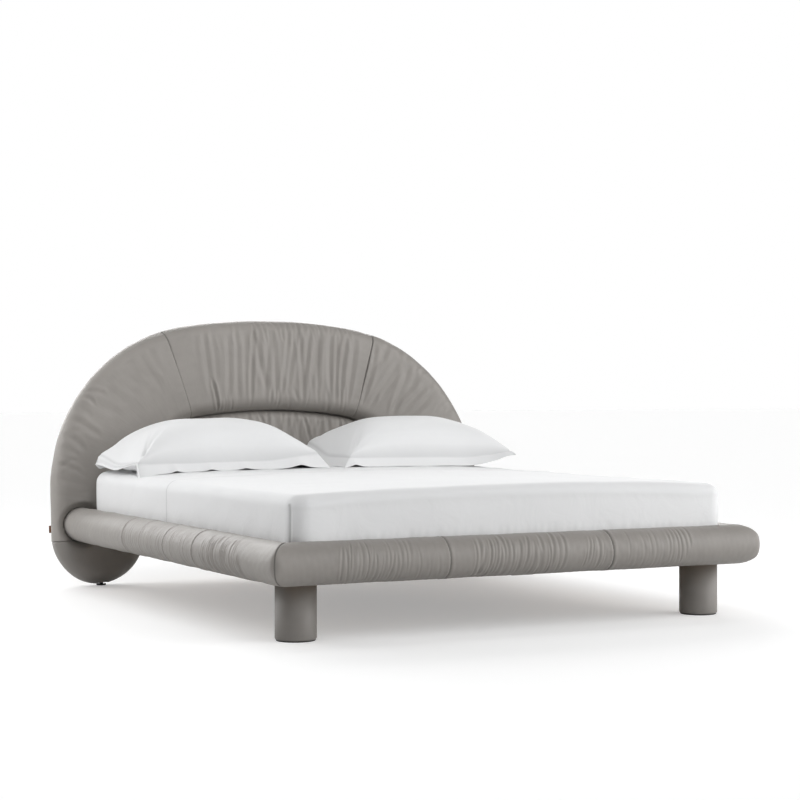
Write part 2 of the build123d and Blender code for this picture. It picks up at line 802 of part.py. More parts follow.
def cap_block(x_range, pocket_ranges, place):
    """Adds one cap with the pockets that its slat ends lie in."""
    half = slat_width / 2 + layer_gap
    block(x_range, (place - half - cap_wall, place + half + cap_wall), (base_top, cap_top))
    for pocket in pocket_ranges:
        block(pocket, (place - half, place + half), (slat_bottom, slat_bottom + slat_thickness + cap_room),
              mode=Mode.SUBTRACT)


for name, side in sides.items():
    with BuildPart() as slats:
        for place in slat_places:
            extrude(slat_profile(side, place + slat_width / 2), amount=slat_width)
    save(slats.part, f"{name}_slats")

    with BuildPart() as slat_caps:
        for place in slat_places:
            pocket = (side * (cap_inner_x - overrun), side * (slat_outer_x + layer_gap))
            cap_block((side * cap_inner_x, side * cap_outer_x), [pocket], place)
    save(slat_caps.part, f"{name}_slat_caps")

with BuildPart() as centre_caps:
    for place in slat_places:
        pockets = [(side * (slat_inner_x - layer_gap), side * (centre_cap_half + overrun))
                   for side in sides.values()]
        cap_block((-centre_cap_half, centre_cap_half), pockets, place)
save(centre_caps.part, "center_slat_caps")


# Mattress and its two sheets, each the same crowned form grown by its layers
half_mattress = mattress_width / 2
crown_roll = half_mattress**2 / (2 * mattress_crown) + mattress_crown / 2
lower_edge = 19.0
mattress_top = mattress_bottom + mattress_thickness + mattress_crown


def mattress_form(grow, bottom):
    """Makes the mattress's crowned block, grown by a distance, from a given bottom up."""
    top = mattress_top + grow
    edge = mattress_edge + grow
    with BuildPart() as form:
        with BuildSketch(Plane.XY.offset(bottom)):
            with Locations((0, mattress_centre_y)):
                RectangleRounded(mattress_width + 2 * grow, mattress_length + 2 * grow,
                                 mattress_corner + grow)
        extrude(amount=top + overrun - bottom)
        with Locations((0, mattress_centre_y, top - crown_roll)):
            Cylinder(crown_roll, 2 * mattress_length, rotation=(quarter_turn, 0, 0), mode=Mode.INTERSECT)
        upper = form.edges().filter_by(Axis.Z, reverse=True).filter_by_position(
            Axis.Z, mattress_bottom + mattress_thickness / 2, top + overrun)
        fillet(upper, edge)
    return form


with BuildPart() as mattress:
    add(mattress_form(0, mattress_bottom).part)
    fillet(mattress.edges().group_by(Axis.Z)[0], lower_edge)
save(mattress.part, "mattress")

fitted_inner = layer_gap
fitted_outer = fitted_inner + fitted_sheet_thickness
flat_inner = fitted_outer + layer_gap
flat_outer = flat_inner + flat_sheet_thickness
sheet_bottom = mattress_bottom + lower_edge
flat_sheet_bottom = sheet_bottom + sheet_tuck
flat_sheet_end = inner_face_y + flat_sheet_reach

with BuildPart() as fitted_sheet:
    add(mattress_form(fitted_outer, sheet_bottom).part)
    add(mattress_form(fitted_inner, sheet_bottom - overrun).part, mode=Mode.SUBTRACT)
save(fitted_sheet.part, "fitted_sheet")

with BuildPart() as flat_sheet:
    add(mattress_form(flat_outer, flat_sheet_bottom).part)
    add(mattress_form(flat_inner, flat_sheet_bottom - overrun).part, mode=Mode.SUBTRACT)
    block((-mattress_width, mattress_width), (flat_sheet_end, flat_sheet_end + mattress_length),
          (0, 2 * mattress_top), mode=Mode.SUBTRACT)
save(flat_sheet.part, "flat_sheet")


# Pillows and their cases, side by side at the head
pillow_seam_rise = 25.0
pillow_edge = 4.0
pillow_contact_share = 0.3
pillow_side_gap = 14.0
pillow_back_gap = 85.0
case_hem = 26.0
case_hem_thickness = 3.0
case_hem_corner = 30.0
station_shares = (-1.0, -0.7, 0.0, 0.7, 1.0)
height_shares = (0.08, 0.74, 1.0, 0.74, 0.08)
depth_shares = (0.88, 0.97, 1.0, 0.97, 0.88)
pillow_x = pillow_length / 2 + case_hem + pillow_side_gap
pillow_y = mattress_front + mattress_length - pillow_back_gap - pillow_depth / 2 + case_hem
pillow_middles = {"left": -pillow_x, "right": pillow_x + right_pillow_shift}


def pillow_seam(centre_x):
    """Gives the height of a pillow's seam, where the pillow rests on the crowned sheet."""
    contact_x = abs(centre_x) - pillow_contact_share * pillow_length
    sheet_top = mattress_top + fitted_outer - contact_x**2 / (2 * crown_roll)
    return sheet_top + pillow_gap + case_thickness + pillow_seam_rise + pillow_edge


def pillow_form(centre_x, grow):
    """Makes a pillow's plump form, grown by a distance, from end to end."""
    with BuildPart() as form:
        for station, height_share, depth_share in zip(station_shares, height_shares, depth_shares):
            half = depth_share * pillow_depth / 2 + grow
            top = (pillow_height - pillow_seam_rise) * height_share + grow
            low = -pillow_seam_rise * height_share - grow
            edge = pillow_edge + grow
            x = centre_x + station * (pillow_length / 2 + grow)
            plane = Plane(origin=(x, pillow_y, pillow_seam(centre_x)), x_dir=(0, 1, 0), z_dir=(1, 0, 0))
            with BuildSketch(plane):
                with BuildLine():
                    ThreePointArc((-half, edge), (0, top + edge), (half, edge))
                    Line((half, edge), (half, -edge))
                    ThreePointArc((half, -edge), (0, low - edge), (-half, -edge))
                    Line((-half, -edge), (-half, edge))
                make_face()
        loft()
    return form


for name, centre_x in pillow_middles.items():
    filling = pillow_form(centre_x, 0)
    room = pillow_form(centre_x, layer_gap)
    skin = pillow_form(centre_x, layer_gap + case_thickness)
    save(filling.part, f"{name}_pillow")
    with BuildPart() as pillowcase:
        add(skin.part)
        with BuildSketch(Plane.XY.offset(pillow_seam(centre_x) - case_hem_thickness / 2)):
            with Locations((centre_x, pillow_y)):
                RectangleRounded(pillow_length + 2 * case_hem, pillow_depth + 2 * case_hem, case_hem_corner)
        extrude(amount=case_hem_thickness)
        add(room.part, mode=Mode.SUBTRACT)
    save(pillowcase.part, f"{name}_pillowcase")
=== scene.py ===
"""Dresses the arched leather bed: gathered leather, bedding, base and studio."""

import logging
import math
import random
from dataclasses import dataclass, field
from enum import Enum
from typing import Sequence

import bmesh
import bpy
import numpy as np
from mathutils import Matrix, Vector


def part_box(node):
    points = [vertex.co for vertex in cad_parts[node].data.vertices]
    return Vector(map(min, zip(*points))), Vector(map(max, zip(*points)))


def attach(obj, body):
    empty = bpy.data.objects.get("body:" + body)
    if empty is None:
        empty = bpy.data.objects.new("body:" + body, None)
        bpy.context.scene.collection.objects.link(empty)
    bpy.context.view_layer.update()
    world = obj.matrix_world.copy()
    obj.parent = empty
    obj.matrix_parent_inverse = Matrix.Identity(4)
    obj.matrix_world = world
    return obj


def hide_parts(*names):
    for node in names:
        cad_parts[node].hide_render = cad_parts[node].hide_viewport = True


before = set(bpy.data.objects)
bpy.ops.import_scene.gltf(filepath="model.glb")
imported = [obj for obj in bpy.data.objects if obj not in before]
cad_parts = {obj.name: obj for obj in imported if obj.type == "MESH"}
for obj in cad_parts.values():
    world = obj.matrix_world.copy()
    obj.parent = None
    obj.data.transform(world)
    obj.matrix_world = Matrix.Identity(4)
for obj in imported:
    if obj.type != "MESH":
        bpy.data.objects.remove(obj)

Array = np.ndarray
Mesh = bmesh.types.BMesh
Pair = tuple[float, float]
Socket = bpy.types.NodeSocket
Triple = tuple[float, float, float]

log = logging.getLogger("bed")
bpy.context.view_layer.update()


class Body(str, Enum):
    """The bodies that a piece can ride on."""

    BEDSTEAD = "bedstead"
    MATTRESS = "mattress_set"
    LEFT_PILLOW = "left_pillow_set"
    RIGHT_PILLOW = "right_pillow_set"


class Side(Enum):
    """The two long sides of the bed, by the sign of X."""

    LEFT = -1
    RIGHT = 1

    @property
    def word(self) -> str:
        """The side's name as it stands in the names of pieces."""
        return self.name.lower()


# Mesh helpers


def points_of(bm: Mesh) -> Array:
    """Reads every vertex's place.

    Args:
        bm: The mesh to read.

    Returns:
        One row of three numbers for each vertex.
    """
    return np.array([v.co for v in bm.verts], dtype=float)


def normals_of(bm: Mesh) -> Array:
    """Reads every vertex's normal.

    Args:
        bm: The mesh to read.

    Returns:
        One unit row for each vertex.
    """
    bm.normal_update()
    return np.array([v.normal for v in bm.verts], dtype=float)


def move_points(bm: Mesh, points: Array) -> None:
    """Puts every vertex in a new place.

    Args:
        bm: The mesh to change.
        points: One row of three numbers for each vertex.
    """
    for vert, point in zip(bm.verts, points):
        vert.co = point


def smooth_step(low: float, high: float, value: Array) -> Array:
    """Rises smoothly from 0 to 1 between two values.

    Args:
        low: Where it is still 0.
        high: Where it reaches 1.
        value: The values to look up.

    Returns:
        The share for each value.
    """
    share = np.clip((value - low) / (high - low), 0.0, 1.0)
    return share * share * (3.0 - 2.0 * share)


def soft_limit(value: Array, limit: Array | float, softness: float) -> Array:
    """Holds values below a limit with a rounded bend.

    Args:
        value: The values to hold.
        limit: The most that a value may be.
        softness: How wide the bend is.

    Returns:
        The held values.
    """
    gap = (value - limit) / softness
    return limit - softness * np.logaddexp(0.0, -gap)


def bell(offset: Array, width: Array | float) -> Array:
    """Gives the height of a bell curve.

    Args:
        offset: Distances from the curve's middle.
        width: Where it has fallen to about a third.

    Returns:
        The share for each distance, 1 in the middle.
    """
    return np.exp(-((offset / width) ** 2))


def columns(*values: Array) -> Array:
    """Sets arrays side by side as the columns of one.

    Args:
        values: The arrays, all of one length.

    Returns:
        The joined array.
    """
    return np.stack(values, axis=1)


def make_tube(segments: int, rows: int) -> Mesh:
    """Rolls a grid up into a tube of radius 1 along Z, from 0 to 1.

    Args:
        segments: How many faces lie round the tube.
        rows: How many rows of faces it has.

    Returns:
        The tube's mesh, open at both ends.
    """
    bm = bmesh.new()
    bmesh.ops.create_grid(bm, x_segments=segments, y_segments=rows, size=1.0)
    points = points_of(bm)
    angle = (points[:, 0] + 1.0) * math.pi
    move_points(bm, columns(np.cos(angle), np.sin(angle), (points[:, 1] + 1.0) / 2.0))
    bm.verts.ensure_lookup_table()
    row_length = segments + 1
    starts = range(0, (rows + 1) * row_length, row_length)
    joined = {bm.verts[start + segments]: bm.verts[start] for start in starts}
    bmesh.ops.weld_verts(bm, targetmap=joined)
    return bm


def close_ends(bm: Mesh) -> None:
    """Fills every open loop of a mesh and turns its faces outwards.

    Args:
        bm: The mesh to close.
    """
    bmesh.ops.holes_fill(bm, edges=[edge for edge in bm.edges if edge.is_boundary], sides=0)
    bmesh.ops.recalc_face_normals(bm, faces=bm.faces[:])


@dataclass(frozen=True)
class Surface:
    """What a finished mesh carries for its material."""

    wrap: Array
    gather: Array
    # Where shade is painted into the colour: the leather's seam grooves and tucked ends, the flat
    # sheet's edge and corner fold, and the pillows' flange lines.
    seam: Array


def make_piece(name: str, bm: Mesh, material: bpy.types.Material,
               surface: Surface | None = None) -> bpy.types.Object:
    """Turns a mesh into a finished object.

    Args:
        name: The piece's name.
        bm: The mesh, which is freed.
        material: Its finish.
        surface: Its wrap coordinates and masks, one for each vertex.

    Returns:
        The new object.
    """
    if surface is not None:
        layer = bm.loops.layers.uv.new("Wrap")
        bm.verts.index_update()
        for face in bm.faces:
            for loop in face.loops:
                loop[layer].uv = surface.wrap[loop.vert.index]
    mesh = bpy.data.meshes.new(name)
    bm.to_mesh(mesh)
    bm.free()
    if surface is not None:
        for label, values in (("gather", surface.gather), ("seam", surface.seam)):
            attribute = mesh.attributes.new(label, "FLOAT", "POINT")
            attribute.data.foreach_set("value", np.clip(values, 0.0, 1.0).astype(np.float32))
    mesh.shade_smooth()
    mesh.materials.append(material)
    piece = bpy.data.objects.new(name, mesh)
    bpy.context.scene.collection.objects.link(piece)
    log.info("%s: %d faces", name, len(mesh.polygons))
    return piece


# Creases


FULL_SHARE = 0.45
END_NARROWING = 0.75
VALLEY_POWER = 1.5
RIDGE_HEIGHT = 0.55
RIDGE_PLACE = 1.55
RIDGE_WIDTH = 0.75
REACH_WIDTHS = 6


@dataclass(frozen=True)
class Fold:
    """One crease that runs across a roll, a sharp valley between two soft ridges."""

    place: float
    width: float
    depth: float
    start: float
    end: float
    lean: float
    bend: float

    def height(self, along: Array, around: Array) -> Array:
        """Gives the crease's height over the plain surface.

        Args:
            along: Each point's place along the roll.
            around: Each point's place across the crease's run.

        Returns:
            The height at each point, less than zero in the valley.
        """
        middle = (self.start + self.end) / 2
        reach = (self.end - self.start) / 2
        share = np.clip((around - middle) / reach, -1.0, 1.0)
        fade = 1.0 - smooth_step(FULL_SHARE, 1.0, np.abs(share))
        centre = self.place + self.lean * share + self.bend * (1.0 - share * share)
        width = self.width * (END_NARROWING + 0.5 * fade)
        offset = np.abs(along - centre) / width
        valley = -np.exp(-VALLEY_POWER * offset**VALLEY_POWER)
        ridge = RIDGE_HEIGHT * bell(offset - RIDGE_PLACE, RIDGE_WIDTH)
        return self.depth * fade * (valley + ridge)


@dataclass(frozen=True)
class Cluster:
    """A bunch of creases between two places on a roll."""

    low: float
    high: float
    count: int
    depth: Pair
    width: Pair
    start: Pair
    end: Pair
    lean: float = 0.004
    bend: float = 0.003
    slant: float = 0.0

    def folds(self, chance: random.Random) -> list[Fold]:
        """Draws the bunch's creases.

        Args:
            chance: The source of random numbers.

        Returns:
            The creases.
        """
        made = []
        for index in range(self.count):
            share = (index + chance.uniform(0.15, 0.85)) / self.count
            made.append(Fold(
                place=self.low + share * (self.high - self.low),
                width=chance.uniform(*self.width),
                depth=chance.uniform(*self.depth),
                start=chance.uniform(*self.start),
                end=chance.uniform(*self.end),
                lean=self.slant + chance.uniform(-self.lean, self.lean),
                bend=chance.uniform(-self.bend, self.bend),
            ))
        return made


@dataclass
class Creases:
    """All the creases on one piece of leather or cloth."""

    clusters: Sequence[Cluster]
    seed: int

    def height(self, along: Array, around: Array) -> Array:
        """Adds up the heights of every crease.

        Args:
            along: Each point's place along the piece.
            around: Each point's place across it.

        Returns:
            The height at each point.
        """
        chance = random.Random(self.seed)
        total = np.zeros(len(along))
        for cluster in self.clusters:
            for fold in cluster.folds(chance):
                reach = REACH_WIDTHS * fold.width + abs(fold.lean) + abs(fold.bend)
                near = np.abs(along - fold.place) < reach
                total[near] += fold.height(along[near], around[near])
        return total

    def mask(self, along: Array) -> Array:
        """Gives where the fine creases between the folds lie.

        Args:
            along: Each point's place along the piece.

        Returns:
            A share for each point, 1 inside a bunch.
        """
        total = np.zeros(len(along))
        margin = 0.05
        for cluster in self.clusters:
            inside = smooth_step(cluster.low - margin, cluster.low + margin, along)
            inside *= 1.0 - smooth_step(cluster.high - margin, cluster.high + margin, along)
            total = np.maximum(total, inside)
        return total


def soft_noise(points: Array, size: float, seed: int) -> Array:
    """Gives a smooth random swell over a surface.

    Args:
        points: The places to look up.
        size: The swell's usual length in metres.
        seed: Which swell it is.

    Returns:
        A value from about -1 to 1 for each place.
    """
    chance = random.Random(seed)
    total = np.zeros(len(points))
    waves = 9
    for _ in range(waves):
        turn = Vector((chance.gauss(0, 1), chance.gauss(0, 1), chance.gauss(0, 1))).normalized()
        pitch = math.tau / (size * chance.uniform(0.7, 1.6))
        total += np.sin(points @ np.array(turn) * pitch + chance.uniform(0, math.tau))
    return total / math.sqrt(waves)


def swells(points: Array, forms: Sequence[Pair], seed: int) -> Array:
    """Adds up smooth random swells of different sizes.

    Args:
        points: The places to look up.
        forms: Each swell's height and its usual length.
        seed: Which swells they are.

    Returns:
        The height at each place.
    """
    return sum(height * soft_noise(points, size, seed + index)
               for index, (height, size) in enumerate(forms))


# Finishes


@dataclass
class Painter:
    """Builds one material's nodes."""

    material: bpy.types.Material = field(init=False)
    name: str = "finish"

    def __post_init__(self) -> None:
        """Makes the material and keeps its shader."""
        self.material = bpy.data.materials.new(self.name)
        self.material.use_nodes = True
        self.tree = self.material.node_tree
        self.shader = self.tree.nodes["Principled BSDF"]

    def add(self, kind: str, **values: object) -> bpy.types.Node:
        """Adds a node and sets its own fields and its sockets.

        Args:
            kind: The node's type without its ShaderNode prefix.
            values: Fields of the node, or its sockets by name with _ for each space.

        Returns:
            The node.
        """
        node = self.tree.nodes.new("ShaderNode" + kind)
        for key, value in values.items():
            if hasattr(node, key):
                setattr(node, key, value)
            else:
                node.inputs[key.replace("_", " ")].default_value = value
        return node

    def link(self, start: Socket, end: Socket) -> None:
        """Joins two sockets."""
        self.tree.links.new(start, end)

    def set(self, **values: object) -> None:
        """Sets the shader's own sockets by name."""
        for key, value in values.items():
            self.shader.inputs[key.replace("_", " ")].default_value = value

    def stretch(self, source: Socket, scale: Triple) -> Socket:
        """Stretches a pattern's coordinates.

        Args:
            source: The coordinates.
            scale: The factor on each axis.

        Returns:
            The stretched coordinates.
        """
        node = self.add("Mapping")
        node.inputs["Scale"].default_value = scale
        self.link(source, node.inputs["Vector"])
        return node.outputs["Vector"]

    def ramp(self, source: Socket, low: float, high: float, start: float = 0.0,
             end: float = 1.0) -> Socket:
        """Maps a value from one range to another, held at both ends.

        Args:
            source: The value.
            low: What gives start.
            high: What gives end.
            start: The result at low.
            end: The result at high.

        Returns:
            The mapped value.
        """
        node = self.add("MapRange")
        values = (("From Min", low), ("From Max", high), ("To Min", start), ("To Max", end))
        for key, number in values:
            node.inputs[key].default_value = number
        self.link(source, node.inputs["Value"])
        return node.outputs["Result"]

    def combine(self, operation: str, first: Socket,
                second: Socket | float) -> Socket:
        """Combines two values.

        Args:
            operation: The sum to do.
            first: The first value.
            second: The second value or number.

        Returns:
            The result.
        """
        node = self.add("Math", operation=operation)
        self.link(first, node.inputs[0])
        if isinstance(second, (int, float)):
            node.inputs[1].default_value = second
        else:
            self.link(second, node.inputs[1])
        return node.outputs[0]

    def blend(self, share: Socket, first: Triple | Socket, second: Triple | Socket) -> Socket:
        """Mixes two colours.

        Args:
            share: How much of the second colour.
            first: The first colour.
            second: The second colour.

        Returns:
            The mixed colour.
        """
        node = self.add("Mix", data_type="RGBA")
        self.link(share, node.inputs[0])
        for socket, color in ((node.inputs[6], first), (node.inputs[7], second)):
            if isinstance(color, tuple):
                socket.default_value = (*color, 1.0)
            else:
                self.link(color, socket)
        return node.outputs[2]

    def spread(self, *patterns: bpy.types.Node, scale: Triple | None = None) -> None:
        """Lays patterns out in the object's own coordinates.

        Args:
            patterns: The patterns' nodes.
            scale: The factor on each axis, or None for none.
        """
        place = self.add("TexCoord").outputs["Object"]
        if scale is not None:
            place = self.stretch(place, scale)
        for pattern in patterns:
            self.link(place, pattern.inputs["Vector"])

    def bump(self, height: Socket, strength: float, distance: float,
             below: Socket | None = None) -> Socket:
        """Adds a bump.

        Args:
            height: The height.
            strength: How strong it is.
            distance: How high it is in metres.
            below: The normal that it lies on.

        Returns:
            The new normal.
        """
        node = self.add("Bump", Strength=strength, Distance=distance)
        self.link(height, node.inputs["Height"])
        if below is not None:
            self.link(below, node.inputs["Normal"])
        return node.outputs["Normal"]

    def finish(self, color: Socket | None, roughness: Socket | None,
               normal: Socket | None) -> bpy.types.Material:
        """Joins the results to the shader.

        Args:
            color: The base colour.
            roughness: The roughness.
            normal: The normal.

        Returns:
            The material.
        """
        for socket, key in ((color, "Base Color"), (roughness, "Roughness"), (normal, "Normal")):
            if socket is not None:
                self.link(socket, self.shader.inputs[key])
        return self.material


def scaled(color: Triple, factor: float) -> Triple:
    """Gives a colour made lighter or darker by a factor."""
    return tuple(channel * factor for channel in color)


@dataclass(frozen=True)
class Leather:
    """Soft drum-dyed leather with a fine grain."""

    name: str
    color: Triple
    grain: float = 1300.0
    creased: bool = True

    def material(self) -> bpy.types.Material:
        """Builds the leather."""
        painter = Painter(name=self.name)
        cells = painter.add("TexVoronoi", Scale=self.grain / 2, Randomness=0.9)
        pores = painter.add("TexNoise", Scale=self.grain, Detail=2.0, Roughness=0.6)
        cloud = painter.add("TexNoise", Scale=3.5, Detail=3.0, Roughness=0.55)
        mottle = painter.add("TexNoise", Scale=28.0, Detail=4.0, Roughness=0.6)
        painter.spread(cells, pores, cloud, mottle)
        tone = painter.blend(painter.ramp(cloud.outputs["Fac"], 0.35, 0.65),
                             scaled(self.color, 0.965), scaled(self.color, 1.035))
        fine = painter.ramp(mottle.outputs["Fac"], 0.3, 0.7, 0.975, 1.025)
        shade = painter.add("Mix", data_type="RGBA", blend_type="MULTIPLY")
        shade.inputs[0].default_value = 1.0
        painter.link(tone, shade.inputs[6])
        painter.link(fine, shade.inputs[7])
        color = shade.outputs[2]
        pits = painter.combine("MULTIPLY", pores.outputs["Fac"], 0.8)
        grain = painter.combine("ADD", cells.outputs["Distance"], pits)
        normal = painter.bump(grain, 0.35, 0.0004)
        roughness = painter.ramp(mottle.outputs["Fac"], 0.3, 0.7, 0.44, 0.54)
        if self.creased:
            normal = self.crease(painter, normal)
            # Painted shade: the 'seam' mask darkens the leather in its seam grooves and where the
            # rolls tuck into each other.
            seam = painter.add("Attribute", attribute_name="seam").outputs["Fac"]
            color = painter.blend(seam, color, scaled(self.color, 0.3))
        painter.set(Specular_IOR_Level=0.45, Sheen_Weight=0.08, Sheen_Roughness=0.4)
        return painter.finish(color, roughness, normal)

    def crease(self, painter: Painter, normal: Socket) -> Socket:
        """Adds the fine and the broad creases where the leather is gathered.

        Args:
            painter: What builds the material.
            normal: The normal that they lie on.

        Returns:
            The new normal.
        """
        wrap = painter.add("UVMap", uv_map="Wrap").outputs["UV"]
        gather = painter.add("Attribute", attribute_name="gather").outputs["Fac"]
        lines = painter.add("TexNoise", Scale=1.0, Detail=3.0, Roughness=0.55, Distortion=0.4)
        painter.link(painter.stretch(wrap, (130.0, 9.0, 1.0)), lines.inputs["Vector"])
        wide = painter.add("TexNoise", Scale=1.0, Detail=2.0, Roughness=0.5, Distortion=0.3)
        painter.link(painter.stretch(wrap, (24.0, 4.0, 1.0)), wide.inputs["Vector"])
        height = painter.combine("MULTIPLY", lines.outputs["Fac"], gather)
        normal = painter.bump(height, 0.2, 0.0024, normal)
        share = painter.ramp(gather, 0.2, 1.0, 0.05, 0.8)
        broad = painter.combine("MULTIPLY", wide.outputs["Fac"], share)
        return painter.bump(broad, 0.22, 0.005, normal)


@dataclass(frozen=True)
class Cotton:
    """Plain woven cotton with soft handling creases."""

    name: str
    color: Triple
    threads: float = 1500.0
    creases: float = 0.25

    def material(self) -> bpy.types.Material:
        """Builds the cotton."""
        painter = Painter(name=self.name)
        thread = {"Scale": self.threads / 6, "Distortion": 0.4, "Detail": 1.0}
        wave = painter.add("TexWave", **thread)
        cross = painter.add("TexWave", bands_direction="Y", **thread)
        soft = painter.add("TexNoise", Scale=9.0, Detail=4.0, Roughness=0.5, Distortion=0.8)
        cloud = painter.add("TexNoise", Scale=2.0, Detail=2.0)
        painter.spread(wave, cross, soft, cloud)
        weave = painter.combine("ADD", wave.outputs["Fac"], cross.outputs["Fac"])
        normal = painter.bump(weave, 0.12, 0.0002)
        normal = painter.bump(soft.outputs["Fac"], self.creases, 0.012, normal)
        plain = painter.blend(painter.ramp(cloud.outputs["Fac"], 0.3, 0.7),
                              scaled(self.color, 0.985), self.color)
        # Painted shade: the 'seam' mask darkens the cotton at the flat sheet's top edge, along its
        # hospital corner's fold and along the pillows' flange lines.
        hem = painter.add("Attribute", attribute_name="seam").outputs["Fac"]
        color = painter.blend(hem, plain, scaled(self.color, 0.5))
        painter.set(Roughness=0.85, Specular_IOR_Level=0.2, Sheen_Weight=0.12, Sheen_Roughness=0.5)
        return painter.finish(color, None, normal)


@dataclass(frozen=True)
class Ticking:
    """Woven mattress and pillow ticking with a fine stripe."""

    name: str
    color: Triple

    def material(self) -> bpy.types.Material:
        """Builds the ticking."""
        painter = Painter(name=self.name)
        stripe = painter.add("TexWave", Scale=16.0)
        knit = painter.add("TexVoronoi", Scale=260.0)
        painter.spread(stripe, knit)
        color = painter.blend(painter.ramp(stripe.outputs["Fac"], 0.9, 0.97),
                              self.color, scaled(self.color, 0.75))
        normal = painter.bump(knit.outputs["Distance"], 0.3, 0.0006)
        painter.set(Roughness=0.9, Specular_IOR_Level=0.2, Sheen_Weight=0.15)
        return painter.finish(color, None, normal)


@dataclass(frozen=True)
class Wood:
    """Sawn or sanded wood with its grain along one axis."""

    name: str
    color: Triple
    along: Triple

    def material(self) -> bpy.types.Material:
        """Builds the wood."""
        painter = Painter(name=self.name)
        grain = painter.add("TexNoise", Scale=9.0, Detail=6.0, Roughness=0.62, Distortion=0.6)
        fibre = painter.add("TexNoise", Scale=60.0, Detail=3.0, Roughness=0.6)
        painter.spread(grain, fibre, scale=self.along)
        dark = painter.blend(painter.ramp(grain.outputs["Fac"], 0.38, 0.62),
                             scaled(self.color, 0.72), self.color)
        color = painter.blend(painter.ramp(fibre.outputs["Fac"], 0.3, 0.7, 0.0, 0.35),
                              dark, scaled(self.color, 0.85))
        normal = painter.bump(fibre.outputs["Fac"], 0.25, 0.0006)
        roughness = painter.ramp(fibre.outputs["Fac"], 0.3, 0.7, 0.5, 0.68)
        painter.set(Specular_IOR_Level=0.35)
        return painter.finish(color, roughness, normal)


@dataclass(frozen=True)
class Zinc:
    """Bright zinc-plated steel."""

    name: str
    color: Triple = (0.56, 0.56, 0.55)

    def material(self) -> bpy.types.Material:
        """Builds the plating."""
        painter = Painter(name=self.name)
        spangle = painter.add("TexVoronoi", Scale=180.0)
        smear = painter.add("TexNoise", Scale=40.0, Detail=4.0)
        painter.spread(spangle, smear)
        color = painter.blend(painter.ramp(spangle.outputs["Distance"], 0.1, 0.7),
                              self.color, scaled(self.color, 0.85))
        roughness = painter.ramp(smear.outputs["Fac"], 0.3, 0.7, 0.28, 0.46)
        painter.set(Metallic=1.0)
        return painter.finish(color, roughness, painter.bump(smear.outputs["Fac"], 0.08, 0.0004))


@dataclass(frozen=True)
class Plastic:
    """Moulded plastic with a fine spark-eroded texture."""

    name: str
    color: Triple

    def material(self) -> bpy.types.Material:
        """Builds the plastic."""
        painter = Painter(name=self.name)
        speck = painter.add("TexNoise", Scale=900.0, Detail=2.0)
        wear = painter.add("TexNoise", Scale=20.0, Detail=3.0)
        painter.spread(speck, wear)
        color = painter.blend(painter.ramp(wear.outputs["Fac"], 0.35, 0.65),
                              self.color, scaled(self.color, 1.5))
        roughness = painter.ramp(wear.outputs["Fac"], 0.3, 0.7, 0.42, 0.6)
        return painter.finish(color, roughness, painter.bump(speck.outputs["Fac"], 0.2, 0.0002))


@dataclass(frozen=True)
class Finishes:
    """Every finish on the bed."""

    leather: bpy.types.Material
    lobe: bpy.types.Material
    leg: bpy.types.Material
    tag: bpy.types.Material
    cotton: bpy.types.Material
    ticking: bpy.types.Material
    back_cloth: bpy.types.Material
    softwood: bpy.types.Material
    plywood: bpy.types.Material
    beech: bpy.types.Material
    zinc: bpy.types.Material
    black: bpy.types.Material

    @classmethod
    def build(cls) -> "Finishes":
        """Builds every finish once."""
        hide = (0.298, 0.279, 0.259)
        return cls(
            leather=Leather("gathered_leather", hide).material(),
            # Painted shade: the headboard's feet get the same hide darkened, standing in for the
            # shade on their downward-facing sides.
            lobe=Leather("foot_leather", scaled(hide, 0.8)).material(),
            # Painted shade: the legs get the same hide darkened, standing in for the shade under
            # the bed.
            leg=Leather("leg_leather", scaled(hide, 0.82), creased=False).material(),
            tag=Leather("tag_leather", (0.2, 0.075, 0.028), grain=900.0, creased=False).material(),
            cotton=Cotton("white_cotton", (0.83, 0.835, 0.84)).material(),
            ticking=Ticking("ticking", (0.72, 0.71, 0.69)).material(),
            back_cloth=Cotton("back_cloth", (0.13, 0.12, 0.11), 1100.0, 0.05).material(),
            softwood=Wood("softwood", (0.5, 0.33, 0.18), (1.0, 0.12, 1.0)).material(),
            plywood=Wood("plywood", (0.52, 0.37, 0.22), (0.12, 1.0, 1.0)).material(),
            beech=Wood("beech", (0.58, 0.39, 0.24), (0.1, 1.0, 1.0)).material(),
            zinc=Zinc("zinc").material(),
            black=Plastic("black_plastic", (0.012, 0.012, 0.012)).material(),
        )


# Rails


@dataclass(frozen=True)
class Stitching:
    """What a sewn cross seam does to the leather beside it."""

    wander: float = 0.0015
    depth: float = 0.0032
    width: float = 0.0026
    ridge: float = 0.0010
    ridge_place: float = 0.009
    ridge_width: float = 0.006
    pucker: float = 0.0009
    puckers: float = 27
    pucker_reach: float = 0.012
    # Width of the painted shade along the seam.
    line: float = 0.002

    def offset(self, along: Array, around: Array, place: float) -> Array:
        """Gives how far points are from the seam's slightly wandering line.

        Args:
            along: Their places along the roll.
            around: Their angles round it.
            place: The seam's place.

        Returns:
            The distances.
        """
        return np.abs(along - place - self.wander * np.sin(2 * around + place * 9))

    def ridges(self, offset: Array, around: Array, place: float) -> tuple[Array, Array]:
        """Gives the height of the soft ridges and puckers beside the seam.

        Args:
            offset: The points' distances from the seam.
            around: Their angles round the roll.
            place: The seam's place.

        Returns:
            The ridges' heights and the puckers' heights.
        """
        ridge = self.ridge * bell(offset - self.ridge_place, self.ridge_width)
        wave = self.pucker * np.sin(around * self.puckers + place)
        return ridge, wave * np.exp(-offset / self.pucker_reach)


